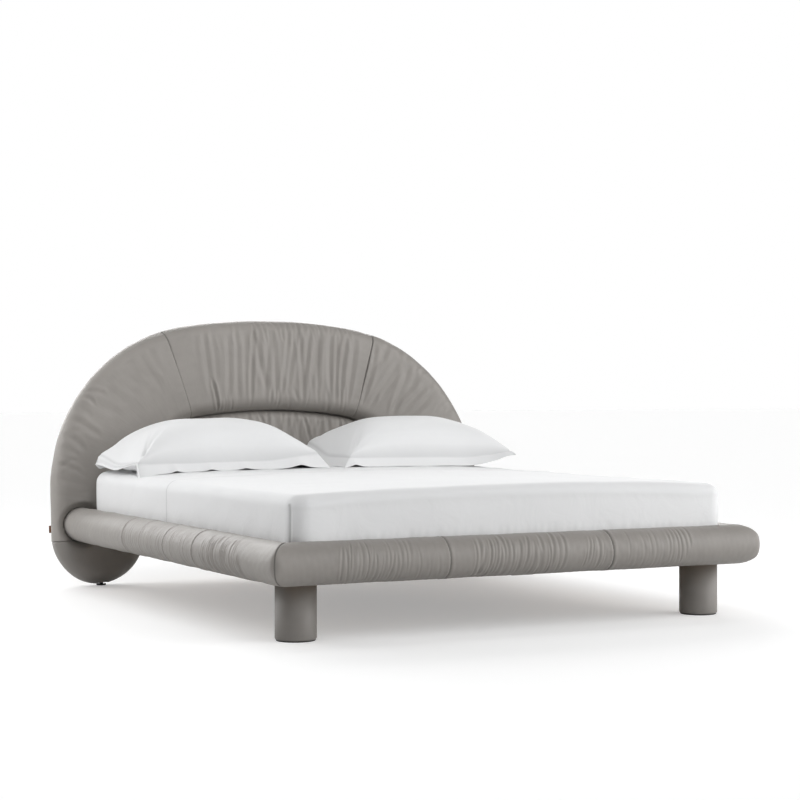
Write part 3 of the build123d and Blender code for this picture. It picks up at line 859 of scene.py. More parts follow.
@dataclass
class Rails:
    """The three padded leather rolls round the base, mitred at the foot corners."""

    finishes: Finishes
    radius: float = 0.071
    height: float = 0.26
    axis_x: float = 0.902
    inner_x: float = 0.866
    flat_depth: float = 0.014
    segments: int = 72
    step: float = 0.0028
    ball_inset: float = 0.02
    corner_soft: float = 0.5
    corner_bend: float = 0.0025
    mitre_reach: float = 0.35
    board_proud: float = 0.0005
    tuck: float = 0.008
    tuck_fullness: float = 0.98
    # tuck_line sets the reach of the painted shade at the tucked ends, as a share of the tuck.
    tuck_line: float = 0.42
    end_pucker: float = 0.0011
    end_puckers: float = 31
    end_pucker_reach: float = 0.012
    swell: tuple[Pair, ...] = ((0.0007, 0.13), (0.00025, 0.03))
    stitching: Stitching = Stitching()

    def __post_init__(self) -> None:
        """Works out the places that follow from the frame."""
        self.foot_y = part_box("foot_rail_cover")[0].y + self.radius
        self.head_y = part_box("left_rail_cover")[1].y - self.radius
        diagonal = self.radius * (math.sqrt(2) - self.corner_soft * (math.sqrt(2) - 1))
        self.ball_radius = diagonal + self.ball_inset * math.sqrt(2)

    def tube(self, length: float) -> Mesh:
        """Sweeps a plain tube along its own Z, from 0 to its length.

        Args:
            length: The tube's length.

        Returns:
            The tube's mesh, open at both ends.
        """
        bm = make_tube(self.segments, round(length / self.step))
        bmesh.ops.scale(bm, vec=(self.radius, self.radius, length), verts=bm.verts[:])
        return bm

    def mitre_distance(self, points: Array) -> Array:
        """Gives how far each point is from the nearer mitre, less than zero past it.

        Args:
            points: Points of the foot roll.

        Returns:
            The distances along X.
        """
        return self.axis_x - np.abs(points[:, 0]) - (points[:, 1] - self.foot_y)

    def round_corners(self, points: Array) -> Array:
        """Holds the mitres' sharp outer ridges inside a ball.

        Args:
            points: Points of a roll.

        Returns:
            The held points.
        """
        sign = np.sign(points[:, 0])
        centre = columns(sign * (self.axis_x - self.ball_inset),
                         np.full(len(points), self.foot_y + self.ball_inset),
                         np.full(len(points), self.height))
        outside = (points[:, 1] < self.foot_y + self.ball_inset) & (
            np.abs(points[:, 0]) > self.axis_x - self.ball_inset)
        ray = points - centre
        reach = np.maximum(np.linalg.norm(ray, axis=1), 1e-6)
        held = soft_limit(reach, self.ball_radius, self.corner_bend)
        return np.where(outside[:, None], centre + ray * (held / reach)[:, None], points)

    def creased(self, points: Array, outward: Array, along: Array, around: Array,
                creases: Creases, seams: Sequence[Pair], end_gap: Array) -> tuple[Array, Array]:
        """Lays creases, seams and the ends' puckers on a roll.

        Args:
            points: The roll's points.
            outward: Their outward directions.
            along: Their places along the roll.
            around: Their angles round it.
            creases: The creases.
            seams: The place and the strength of each cross seam.
            end_gap: Their distance from a sewn end.

        Returns:
            The new points and the mask of the painted shade in the seams' grooves and at the tucked
            ends.
        """
        sewn = self.stitching
        height = creases.height(along, around)
        height += swells(points, self.swell, creases.seed)
        mask = np.zeros(len(points))
        for place, strength in seams:
            offset = sewn.offset(along, around, place)
            height -= sewn.depth * strength * bell(offset, sewn.width)
            for form in sewn.ridges(offset, around, place):
                height += form
            # Painted shade along each seam's groove.
            mask = np.maximum(mask, strength * bell(offset, sewn.line))
        tuck = np.clip(1.0 - end_gap / self.tuck, 0.0, 1.0)
        height -= self.tuck * (1.0 - np.sqrt(1.0 - self.tuck_fullness * tuck**2))
        pucker = self.end_pucker * np.sin(around * self.end_puckers)
        pucker *= np.exp(-end_gap / self.end_pucker_reach)
        height += pucker * (1.0 - tuck) * smooth_step(0.4, -0.3, around)
        # Painted shade where the end tucks into the next roll.
        mask = np.maximum(mask, np.clip(1.6 - end_gap / (self.tuck_line * self.tuck), 0.0, 1.0))
        return points + outward * height[:, None], mask

    def foot(self) -> bpy.types.Object:
        """Builds the foot roll."""
        length = 2 * (self.axis_x + self.radius)
        bm = self.tube(length)
        turn = Matrix.Rotation(math.radians(90), 4, "Y")
        place = Matrix.Translation((-length / 2, self.foot_y, self.height))
        bmesh.ops.transform(bm, matrix=place @ turn, verts=bm.verts[:])
        points = points_of(bm)
        along = points[:, 0].copy()
        depth = points[:, 1] - self.foot_y
        around = np.arctan2(points[:, 2] - self.height, -depth)
        reach = self.mitre_reach
        share = np.clip((np.abs(along) - (length / 2 - reach)) / reach, 0.0, 1.0)
        end = self.axis_x - depth
        points[:, 0] = np.sign(along) * (np.abs(along) + share * (end - length / 2))
        outward = columns(np.zeros(len(points)), -np.cos(around), np.sin(around))
        creases = Creases((
            Cluster(-0.735, -0.47, 17, (0.0007, 0.0022), (0.0026, 0.0048),
                    (-2.0, -0.6), (0.5, 1.8), 0.006, 0.004, 0.005),
            Cluster(-0.45, -0.36, 3, (0.0004, 0.001), (0.003, 0.005), (-1.6, -0.9), (0.2, 1.2)),
            Cluster(-0.235, -0.05, 12, (0.0012, 0.0034), (0.003, 0.0058),
                    (-2.0, -1.0), (0.6, 1.9), 0.008, 0.005, 0.009),
            Cluster(-0.03, 0.13, 8, (0.0010, 0.0030), (0.003, 0.0058),
                    (-1.9, -0.7), (0.4, 1.9), 0.008, 0.005, 0.009),
            Cluster(0.19, 0.30, 6, (0.0006, 0.0018), (0.0025, 0.005),
                    (-1.6, -0.6), (0.1, 1.4), 0.006, 0.004, 0.006),
            Cluster(0.38, 0.54, 6, (0.0003, 0.0009), (0.003, 0.006), (-1.8, -0.4), (0.5, 1.8)),
            Cluster(0.54, 0.66, 6, (0.0008, 0.0022), (0.003, 0.0055),
                    (-1.2, 0.1), (0.9, 2.0), 0.006, 0.004),
        ), seed=11)
        gap = np.abs(self.mitre_distance(points))
        points, seam = self.creased(points, outward, along, around, creases,
                                    ((-0.327, 0.8), (0.321, 0.9)), gap)
        points = self.round_corners(points)
        back = self.foot_y + self.flat_depth - self.board_proud
        points[:, 1] = np.minimum(points[:, 1], back)
        return self.finish_roll("foot_rail_leather", bm, points, along, around, creases, seam,
                                ("foot_rail_cover", "foot_rail_padding"))

    def side(self, side: Side) -> bpy.types.Object:
        """Builds one side roll.

        Args:
            side: Which side.

        Returns:
            The roll.
        """
        start = self.foot_y - self.radius
        straight = self.head_y - start
        dome = self.radius * math.pi / 2
        bm = self.tube(straight + dome)
        turn = Matrix.Rotation(math.radians(-90), 4, "X")
        bmesh.ops.transform(bm, matrix=turn, verts=bm.verts[:])
        points = points_of(bm)
        along = points[:, 1].copy()
        round_angle = np.clip((along - straight) / self.radius, 0.0, math.pi / 2)
        points[:, 0] *= np.cos(round_angle)
        points[:, 2] *= np.cos(round_angle)
        points[:, 1] = np.minimum(along, straight) + self.radius * np.sin(round_angle)
        sign = side.value
        width = points[:, 0] * sign
        share = np.clip(1.0 - along / self.mitre_reach, 0.0, 1.0)
        points[:, 1] += start + share * (self.radius - width)
        around = np.arctan2(points[:, 2], width)
        outward = columns(sign * np.cos(around) * np.cos(round_angle), np.sin(round_angle),
                          np.sin(around) * np.cos(round_angle))
        points[:, 0] += sign * self.axis_x
        points[:, 2] += self.height
        place = along + start - self.foot_y
        creases = Creases((
            Cluster(0.20, 0.56, 24, (0.0007, 0.0024), (0.0026, 0.0046),
                    (-2.0, -0.8), (0.4, 1.9), 0.010, 0.006, 0.012),
            Cluster(0.67, 0.90, 8, (0.0004, 0.0012), (0.0026, 0.0045), (-1.8, -0.9), (0.2, 1.5)),
            Cluster(0.95, 1.15, 9, (0.0004, 0.0014), (0.0026, 0.0045), (-1.8, -0.9), (0.4, 1.6)),
            Cluster(1.19, 1.42, 9, (0.0003, 0.0010), (0.003, 0.005), (-1.8, -0.8), (0.4, 1.5)),
        ), seed=29 + side.value)
        gap = np.abs((points[:, 1] - self.foot_y) + width)
        points, seam = self.creased(points, outward, place, around, creases,
                                    ((0.636, 1.0), (0.92, 0.65), (1.17, 0.3), (1.36, 0.5)), gap)
        points = self.round_corners(points)
        points[:, 0] = sign * np.maximum(points[:, 0] * sign, self.inner_x + self.board_proud)
        nodes = (f"{side.word}_rail_cover", f"{side.word}_rail_padding")
        return self.finish_roll(f"{side.word}_rail_leather", bm, points, place, around, creases,
                                seam, nodes)

    def finish_roll(self, name: str, bm: Mesh, points: Array, along: Array,
                    around: Array, creases: Creases, seam: Array,
                    nodes: Sequence[str]) -> bpy.types.Object:
        """Closes a roll and gives it to the frame.

        Args:
            name: The piece's name.
            bm: Its mesh.
            points: The mesh's points.
            along: Their places along the roll.
            around: Their angles round it.
            creases: Its creases.
            seam: The mask of the painted shade in its seams' grooves and at its tucked ends.
            nodes: The nodes that it stands for.

        Returns:
            The finished roll.
        """
        move_points(bm, points)
        close_ends(bm)
        surface = Surface(columns(along, around * self.radius), creases.mask(along), seam)
        piece = make_piece(name, bm, self.finishes.leather, surface)
        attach(piece, Body.BEDSTEAD.value)
        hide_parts(*nodes)
        return piece

    def build(self) -> None:
        """Builds the three rolls."""
        self.foot()
        for side in Side:
            self.side(side)


# Headboard


@dataclass
class Headboard:
    """The fat roll bent into an arch, its two feet, and the cushion inside it."""

    finishes: Finishes
    rails: Rails
    lean: float = math.radians(5.59)
    half_width: float = 1.0155
    height: float = 1.134
    shoulder_radius: float = 0.722
    shoulder_height: float = 0.3895
    band_width: float = 0.397
    crown: float = 0.064
    front_round: float = 0.06
    back_round: float = 0.062
    clearance: float = 0.016
    foot_seam: float = 0.188
    seam_angle: float = math.radians(17.3)
    segments: int = 132
    step: float = 0.0042
    cushion_front: float = 0.024
    cushion_bottom: float = 0.222
    panel_thickness: float = 0.021
    tuck: float = 0.0024
    tuck_fullness: float = 0.96
    sag: float = 1.05
    swell: float = 0.03
    swell_start: float = 0.07
    pole_radius: float = 0.008
    lowest: float = 0.0075
    cover_thickness: float = 0.003
    cover_inset: float = 0.064
    dome_gap: float = 0.001
    lip: float = 0.02
    lip_width: float = 0.03
    socket_gap: float = 0.004
    socket_lift: float = 0.005
    socket_zone: float = 0.1
    pucker: float = 0.0009
    puckers: float = 190
    pucker_reach: float = 0.02
    # line sets the width of the painted shade along the seams.
    line: float = 0.0019
    broad_swell: Pair = (0.003, 0.45)
    fine_swell: Pair = (0.0006, 0.12)

    def __post_init__(self) -> None:
        """Works out the arch's centres and lengths, and the frame of the leaning plane."""
        self.shift = self.half_width - self.shoulder_radius
        rise = self.height - self.shoulder_height
        self.crown_radius = (self.shift**2 + rise**2 - self.shoulder_radius**2) / (
            2 * (rise - self.shoulder_radius))
        self.crown_centre = self.height - self.crown_radius
        self.crown_angle = math.asin(self.shift / (self.crown_radius - self.shoulder_radius))
        self.half_band = self.band_width / 2
        self.middle_x = self.half_width - self.half_band
        self.foot_centre = self.clearance + self.half_band
        self.crown_line = self.crown_radius - self.half_band
        self.shoulder_line = self.shoulder_radius - self.half_band
        self.crown_length = self.crown_line * self.crown_angle
        self.shoulder_length = self.shoulder_line * (math.pi / 2 - self.crown_angle)
        self.matrix = Matrix.Translation((0.0, self.base_place(), 0.0)) @ Matrix.Rotation(
            math.radians(90) - self.lean, 4, "X")

    def base_place(self) -> float:
        """Finds where the plane of the widest line meets the floor.

        Returns:
            The place along Y.
        """
        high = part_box("headboard_back_cover")[1]
        back = self.back_round + self.cover_thickness
        top = self.height - self.cover_inset
        return high.y - top * math.sin(self.lean) - back * math.cos(self.lean)

    def in_bed(self, points: Array) -> Array:
        """Turns points of the leaning plane's frame into points of the bed's frame.

        Args:
            points: Points in the plane's frame.

        Returns:
            The points in the bed's frame.
        """
        return points @ np.array(self.matrix.to_3x3()).T + np.array(self.matrix.translation)

    def outline(self, share: Array) -> tuple[Array, Array, Array]:
        """Walks round the roll's cross section, from its outer side over the front.

        Args:
            share: The shares of the way round, from 0 to 1.

        Returns:
            The distances outwards from the middle line, the depths forwards, and the distances
            walked.
        """
        front_shift = self.half_band - self.front_round
        back_shift = self.half_band - self.back_round
        crown_radius = (front_shift**2 + self.crown**2 - self.front_round**2) / (
            2 * (self.crown - self.front_round))
        turn = math.atan2(crown_radius - self.crown, front_shift)
        quarter = math.pi / 2
        arcs = (
            (front_shift, 0.0, self.front_round, 0.0, turn),
            (0.0, self.crown - crown_radius, crown_radius, turn, math.pi - 2 * turn),
            (-front_shift, 0.0, self.front_round, math.pi - turn, turn),
            (-back_shift, 0.0, self.back_round, math.pi, quarter),
            (back_shift, 0.0, self.back_round, 3 * quarter, quarter),
        )
        lengths = [radius * sweep_angle for _, _, radius, _, sweep_angle in arcs]
        total = sum(lengths) + 2 * back_shift
        walked = (share % 1.0) * total
        out, depth = np.zeros(len(walked)), np.full(len(walked), -self.back_round)
        begin = 0.0
        for index, (centre, level, radius, start, _) in enumerate(arcs):
            if index == len(arcs) - 1:
                flat = (walked >= begin) & (walked < begin + 2 * back_shift)
                out[flat] = walked[flat] - begin - back_shift
                begin += 2 * back_shift
            inside = (walked >= begin) & (walked <= begin + lengths[index] + 1e-9)
            angle = start + (walked[inside] - begin) / radius
            out[inside] = centre + radius * np.cos(angle)
            depth[inside] = level + radius * np.sin(angle)
            begin += lengths[index]
        return out, depth, walked

    def band(self, start: float, end: float) -> tuple[Mesh, Array, Array]:
        """Bends a length of the roll round the arch, in the leaning plane's frame.

        Args:
            start: Where it starts along the middle line, from the arch's top.
            end: Where it ends.

        Returns:
            The mesh, open at both ends, with its points' places along and around the roll.
        """
        bm = make_tube(self.segments, round(abs(end - start) / self.step))
        points = points_of(bm)
        out, depth, around = self.outline(np.arctan2(points[:, 1], points[:, 0]) / math.tau)
        along = start + (end - start) * points[:, 2]
        move_points(bm, self.bent(along, out, depth))
        return bm, along, around

    def bent(self, place: Array, out: Array, depth: Array) -> Array:
        """Turns places along and across the roll into points of the leaning plane's frame.

        Args:
            place: The place along the middle line from the arch's top, positive to the right.
            out: The distance outwards from that line.
            depth: The depth forwards.

        Returns:
            The points.
        """
        run = np.abs(place)
        on_crown = run < self.crown_length
        turn = np.where(on_crown, run / self.crown_line,
                        self.crown_angle + (run - self.crown_length) / self.shoulder_line)
        turn = np.minimum(turn, math.pi / 2)
        reach = np.where(on_crown, self.crown_line, self.shoulder_line) + out
        x = reach * np.sin(turn) + np.where(on_crown, 0.0, self.shift)
        v = reach * np.cos(turn) + np.where(on_crown, self.crown_centre, self.shoulder_height)
        v = v - np.maximum(run - self.crown_length - self.shoulder_length, 0.0)
        return columns(np.sign(place) * x, v, depth)

    def press_rail(self, points: Array) -> Array:
        """Presses the rails' domed ends into the roll.

        Args:
            points: Points in the bed's frame.

        Returns:
            The pressed points.
        """
        rails = self.rails
        radius = rails.radius + self.dome_gap
        rim = radius + self.lip_width
        offset = np.hypot(np.abs(points[:, 0]) - rails.axis_x, points[:, 2] - rails.height)
        inside = np.clip(offset / radius, 0.0, 1.0)
        dome = rails.head_y + radius * np.sqrt(1.0 - inside**2)
        lip = self.lip * (1.0 - smooth_step(radius, rim, offset))
        front = points[:, 1] < rails.head_y + self.lip
        pressed = np.where(offset < radius, np.maximum(points[:, 1], dome), points[:, 1] + lip)
        result = points.copy()
        result[:, 1] = np.where(front & (offset < rim), pressed, points[:, 1])
        return result

    def open_feet(self, points: Array) -> Array:
        """Turns the leather up into the holes round the levelling feet's sockets.

        Args:
            points: Places on the leather.

        Returns:
            The places, with those under the sockets lifted clear of the levelling feet.
        """
        for side in Side:
            low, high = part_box(f"{side.word}_foot_socket")
            middle = (low + high) / 2
            away = np.hypot(points[:, 0] - middle.x, points[:, 1] - middle.y)
            near = away < (high.x - low.x) / 2 + self.socket_gap
            under = near & (points[:, 2] < self.socket_zone)
            lifted = np.maximum(points[:, 2], low.z + self.socket_lift)
            points[:, 2] = np.where(under, lifted, points[:, 2])
        return points

    def leather(self, name: str, made: tuple[Mesh, Array, Array], creases: Creases,
                node: str, ends: Sequence[float], material: bpy.types.Material,
                slot: str) -> bpy.types.Object:
        """Creases and finishes one length of the roll, made in the plane's frame.

        Args:
            name: The piece's name.
            made: Its mesh and its points' places along and around the roll.
            creases: Its creases.
            node: The node that it stands for.
            ends: The places of its seams along the roll.
            material: Its finish.
            slot: Not used.

        Returns:
            The piece.
        """
        bm, along, around = made
        bmesh.ops.recalc_face_normals(bm, faces=bm.faces[:])
        points, outward = points_of(bm), normals_of(bm)
        height = creases.height(along, around)
        front = smooth_step(0.0, 0.03, points[:, 2])
        height += swells(points, (self.broad_swell,), creases.seed) * front
        height += swells(points, (self.fine_swell,), creases.seed + 3)
        mask = np.zeros(len(points))
        for end in ends:
            gap = np.abs(along - end)
            tuck = np.clip(1.0 - gap / self.tuck, 0.0, 1.0)
            height -= self.tuck * (1.0 - np.sqrt(1.0 - self.tuck_fullness * tuck**2))
            wave = self.pucker * np.sin(around * self.puckers + end)
            height += wave * np.exp(-gap / self.pucker_reach) * (1.0 - tuck)
            # Painted shade along each seam.
            mask = np.maximum(mask, 0.5 * np.clip(1.0 - gap / self.line, 0.0, 1.0))
        placed = self.press_rail(self.in_bed(points + outward * height[:, None]))
        placed[:, 2] = np.maximum(placed[:, 2], self.lowest)
        move_points(bm, self.open_feet(placed))
        close_ends(bm)
        surface = Surface(columns(along, around), creases.mask(along), mask)
        piece = make_piece(name, bm, material, surface)
        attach(piece, Body.BEDSTEAD.value)
        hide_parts(node)
        return piece

    def side(self, side: Side) -> bpy.types.Object:
        """Builds one long end of the roll, from its foot's seam to its radial seam.

        Args:
            side: Which side.

        Returns:
            The piece.
        """
        seam, foot = self.seam_place(), self.foot_place()
        made = self.band(side.value * seam, side.value * foot)
        if side is Side.RIGHT:
            clusters = (
                Cluster(0.44, 0.78, 8, (0.003, 0.006), (0.010, 0.016),
                        (0.02, 0.08), (0.30, 0.42), 0.03, 0.012),
                Cluster(0.50, 0.98, 12, (0.0012, 0.0028), (0.006, 0.010),
                        (0.02, 0.05), (0.09, 0.17), 0.01, 0.006),
                Cluster(0.80, 1.15, 5, (0.001, 0.003), (0.010, 0.016),
                        (0.10, 0.18), (0.28, 0.42), 0.02, 0.01),
            )
        else:
            clusters = (
                Cluster(-1.13, -0.76, 11, (0.0015, 0.0036), (0.006, 0.011),
                        (0.02, 0.06), (0.11, 0.21), 0.02, 0.01),
                Cluster(-0.80, -0.48, 7, (0.0006, 0.0014), (0.012, 0.02),
                        (0.05, 0.1), (0.2, 0.35), 0.03, 0.012),
                Cluster(-1.32, -1.1, 4, (0.0008, 0.002), (0.008, 0.012),
                        (0.03, 0.08), (0.15, 0.3), 0.02, 0.01),
            )
        creases = Creases(clusters, 41 + side.value)
        return self.leather(f"{side.word}_headboard_leather", made, creases,
                            f"{side.word}_headboard_band", (side.value * seam, side.value * foot),
                            self.finishes.leather, "leather")

    def seam_place(self) -> float:
        """Gives the radial seams' place along the roll."""
        return self.crown_length + self.shoulder_line * (self.seam_angle - self.crown_angle)

    def foot_place(self) -> float:
        """Gives the feet's seams' place along the roll."""
        return self.crown_length + self.shoulder_length + self.shoulder_height - self.foot_seam

    def centre(self) -> bpy.types.Object:
        """Builds the roll's gathered middle length between the radial seams."""
        seam = self.seam_place()
        made = self.band(-seam, seam)
        clusters = (
            Cluster(-0.33, -0.12, 5, (0.0012, 0.003), (0.010, 0.016),
                    (0.03, 0.07), (0.33, 0.43), 0.03, 0.012),
            Cluster(-0.12, 0.40, 14, (0.0028, 0.0056), (0.008, 0.014),
                    (0.02, 0.05), (0.34, 0.44), 0.035, 0.014),
            Cluster(-0.10, 0.36, 20, (0.0014, 0.0034), (0.0045, 0.008),
                    (0.015, 0.035), (0.08, 0.17), 0.014, 0.006),
            Cluster(-0.40, -0.12, 8, (0.0006, 0.0018), (0.006, 0.010),
                    (0.02, 0.05), (0.09, 0.2), 0.02, 0.006),
            Cluster(-0.305, -0.285, 1, (0.007, 0.0085), (0.006, 0.008),
                    (0.26, 0.28), (0.43, 0.45), 0.014, 0.003),
            Cluster(-0.30, -0.21, 5, (0.0014, 0.003), (0.003, 0.0055),
                    (0.34, 0.38), (0.43, 0.46), 0.006, 0.003),
            Cluster(-0.05, 0.40, 9, (0.001, 0.0025), (0.005, 0.009),
                    (0.28, 0.34), (0.40, 0.45), 0.012, 0.004),
        )
        return self.leather("center_headboard_leather", made, Creases(clusters, 73),
                            "center_headboard_band", (-seam, seam), self.finishes.leather,
                            "leather")

    def foot(self, side: Side) -> bpy.types.Object:
        """Builds one rounded end of the roll below its level seam.

        Args:
            side: Which side.

        Returns:
            The piece.
        """
        bm = self.half_round(side)
        points = points_of(bm)
        below = self.foot_seam - points[:, 1]
        points[:, 1] = self.foot_seam - self.sag * below
        inward = np.maximum(self.middle_x - points[:, 0] * side.value, 0.0)
        points[:, 0] -= side.value * self.swell * inward * smooth_step(0.0, self.swell_start, below)
        move_points(bm, points)
        along = side.value * (self.foot_place() + self.foot_seam - points[:, 1])
        turn_length = 0.13
        around = np.arctan2(points[:, 2], np.abs(points[:, 0]) - self.middle_x) * turn_length
        folds = Cluster(1.30, 1.36, 2, (0.001, 0.002), (0.008, 0.012), (0.1, 0.2), (0.25, 0.35))
        # The foot takes the darkened copy of the hide, painted shade for its downward-facing sides.
        return self.leather(f"{side.word}_headboard_foot_leather", (bm, along, around),
                            Creases((folds,), 97 + side.value), f"{side.word}_headboard_foot",
                            (side.value * self.foot_place(),), self.finishes.lobe, "lobe_leather")

    def half_round(self, side: Side) -> Mesh:
        """Turns the outer half of the roll's section through the foot's half circle.

        Args:
            side: Which side.

        Returns:
            The foot's mesh in the plane's frame, cut off at the level seam.
        """
        merge = 1e-5
        half = self.segments // 2
        out, depth, _ = self.outline(np.arange(-half, half) / self.segments)
        outer = out >= -merge
        out, depth = np.where(out < self.pole_radius, 0.0, out)[outer], depth[outer]
        steps = round(math.pi * self.half_band / self.step)
        bm = bmesh.new()
        bmesh.ops.create_grid(bm, x_segments=len(out) - 1, y_segments=steps, size=1.0)
        points = points_of(bm)
        column = np.rint((points[:, 0] + 1.0) / 2.0 * (len(out) - 1)).astype(int)
        turn = -(points[:, 1] + 1.0) / 2.0 * math.pi
        reach, forward = out[column], depth[column]
        move_points(bm, columns(reach * np.cos(turn), reach * np.sin(turn), forward))
        bmesh.ops.remove_doubles(bm, verts=bm.verts[:], dist=merge)
        bmesh.ops.translate(bm, vec=(self.middle_x * side.value, self.foot_centre, 0.0),
                            verts=bm.verts[:])
        bmesh.ops.bisect_plane(bm, geom=bm.verts[:] + bm.edges[:] + bm.faces[:],
                               plane_co=(0, self.foot_seam, 0), plane_no=(0, 1, 0),
                               clear_outer=True)
        return bm

    def inner_top(self, x: Array, inset: float) -> Array:
        """Gives the height of the cushion's arch over a place across it.

        Args:
            x: Places across the headboard.
            inset: How far the arch is set in from the headboard's outline.

        Returns:
            The heights in the leaning plane.
        """
        shoulder = self.shoulder_radius - inset
        crown = self.crown_radius - inset
        wide = np.abs(x)
        on_crown = wide < crown * math.sin(self.crown_angle)
        crown_height = self.crown_centre + np.sqrt(np.maximum(crown**2 - wide**2, 0.0))
        side_rise = np.sqrt(np.maximum(shoulder**2 - (wide - self.shift) ** 2, 0.0))
        return np.where(on_crown, crown_height, self.shoulder_height + side_rise)

    def cushion(self) -> bpy.types.Object:
        """Builds the recessed pleated cushion."""
        overlap, edge_round, edge_drop, fullness = 0.006, 0.05, 0.008, 0.004
        inset = self.band_width - overlap
        half = self.half_width - inset
        bm = bmesh.new()
        bmesh.ops.create_grid(bm, x_segments=360, y_segments=110, size=1.0)
        points = points_of(bm)
        across = half * np.sin(points[:, 0] * math.pi / 2)
        share = (points[:, 1] + 1.0) / 2.0
        top = self.inner_top(across, inset)
        up = self.cushion_bottom + share * (top - self.cushion_bottom)
        edge = np.minimum(np.minimum(top - up, up - self.cushion_bottom), half - np.abs(across))
        back = self.panel_thickness - self.back_round
        depth = back + (self.cushion_front - edge_drop - back) * np.sqrt(
            1.0 - (1.0 - np.clip(edge / edge_round, 0.0, 1.0)) ** 2)
        depth += fullness * smooth_step(edge_round, 0.2, edge)
        creases = Creases((
            Cluster(-0.45, 0.45, 24, (0.002, 0.005), (0.006, 0.012),
                    (-0.06, -0.02), (0.16, 0.42), 0.05, 0.012),
            Cluster(-0.35, 0.35, 18, (0.001, 0.003), (0.005, 0.009),
                    (-0.05, 0.0), (0.08, 0.2), 0.02, 0.006),
        ), 131)
        drop = np.clip(top - up, 0.0, None)
        depth += creases.height(across, drop) * smooth_step(0.0, 0.03, edge)
        move_points(bm, self.in_bed(columns(across, up, depth)))
        close_ends(bm)
        surface = Surface(columns(across, up), creases.mask(across), np.zeros(len(points)))
        piece = make_piece("headboard_cushion_leather", bm, self.finishes.leather, surface)
        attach(piece, Body.BEDSTEAD.value)
        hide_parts("headboard_cushion")
        return piece

    def build(self) -> None:
        """Builds every leather piece of the headboard."""
        self.centre()
        for side in Side:
            self.side(side)
            self.foot(side)
        self.cushion()


# Legs


@dataclass
class Legs:
    """The two leather-covered round legs under the foot corners."""

    finishes: Finishes
    edge: float = 0.007
    segments: int = 96

    def build(self) -> None:
        """Builds both leg covers."""
        for side in Side:
            node = f"{side.word}_leg_cover"
            low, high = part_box(node)
            centre = (low + high) / 2
            radius = (high.x - low.x) / 2
            bm = bmesh.new()
            bmesh.ops.create_cone(bm, cap_ends=True, segments=self.segments, radius1=radius,
                                  radius2=radius, depth=high.z - low.z)
            rim = [edge for edge in bm.edges if max(vert.co.z for vert in edge.verts) < 0]
            bmesh.ops.bevel(bm, geom=rim, offset=self.edge, affect="EDGES", segments=5,
                            profile=0.5, material=-1)
            bmesh.ops.translate(bm, vec=centre, verts=bm.verts[:])
            # The leg takes the darkened copy of the hide, painted shade for its place under the
            # bed.
            piece = make_piece(f"{side.word}_leg_leather", bm, self.finishes.leg)
            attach(piece, Body.BEDSTEAD.value)
            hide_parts(node)


# Bedding


@dataclass(frozen=True)
class Drape:
    """A cloth laid over the mattress: its points and where each lies on it."""

    points: Array
    normal: Array
    down: Array
    flat: Array
    facing: Array
    turn: Array


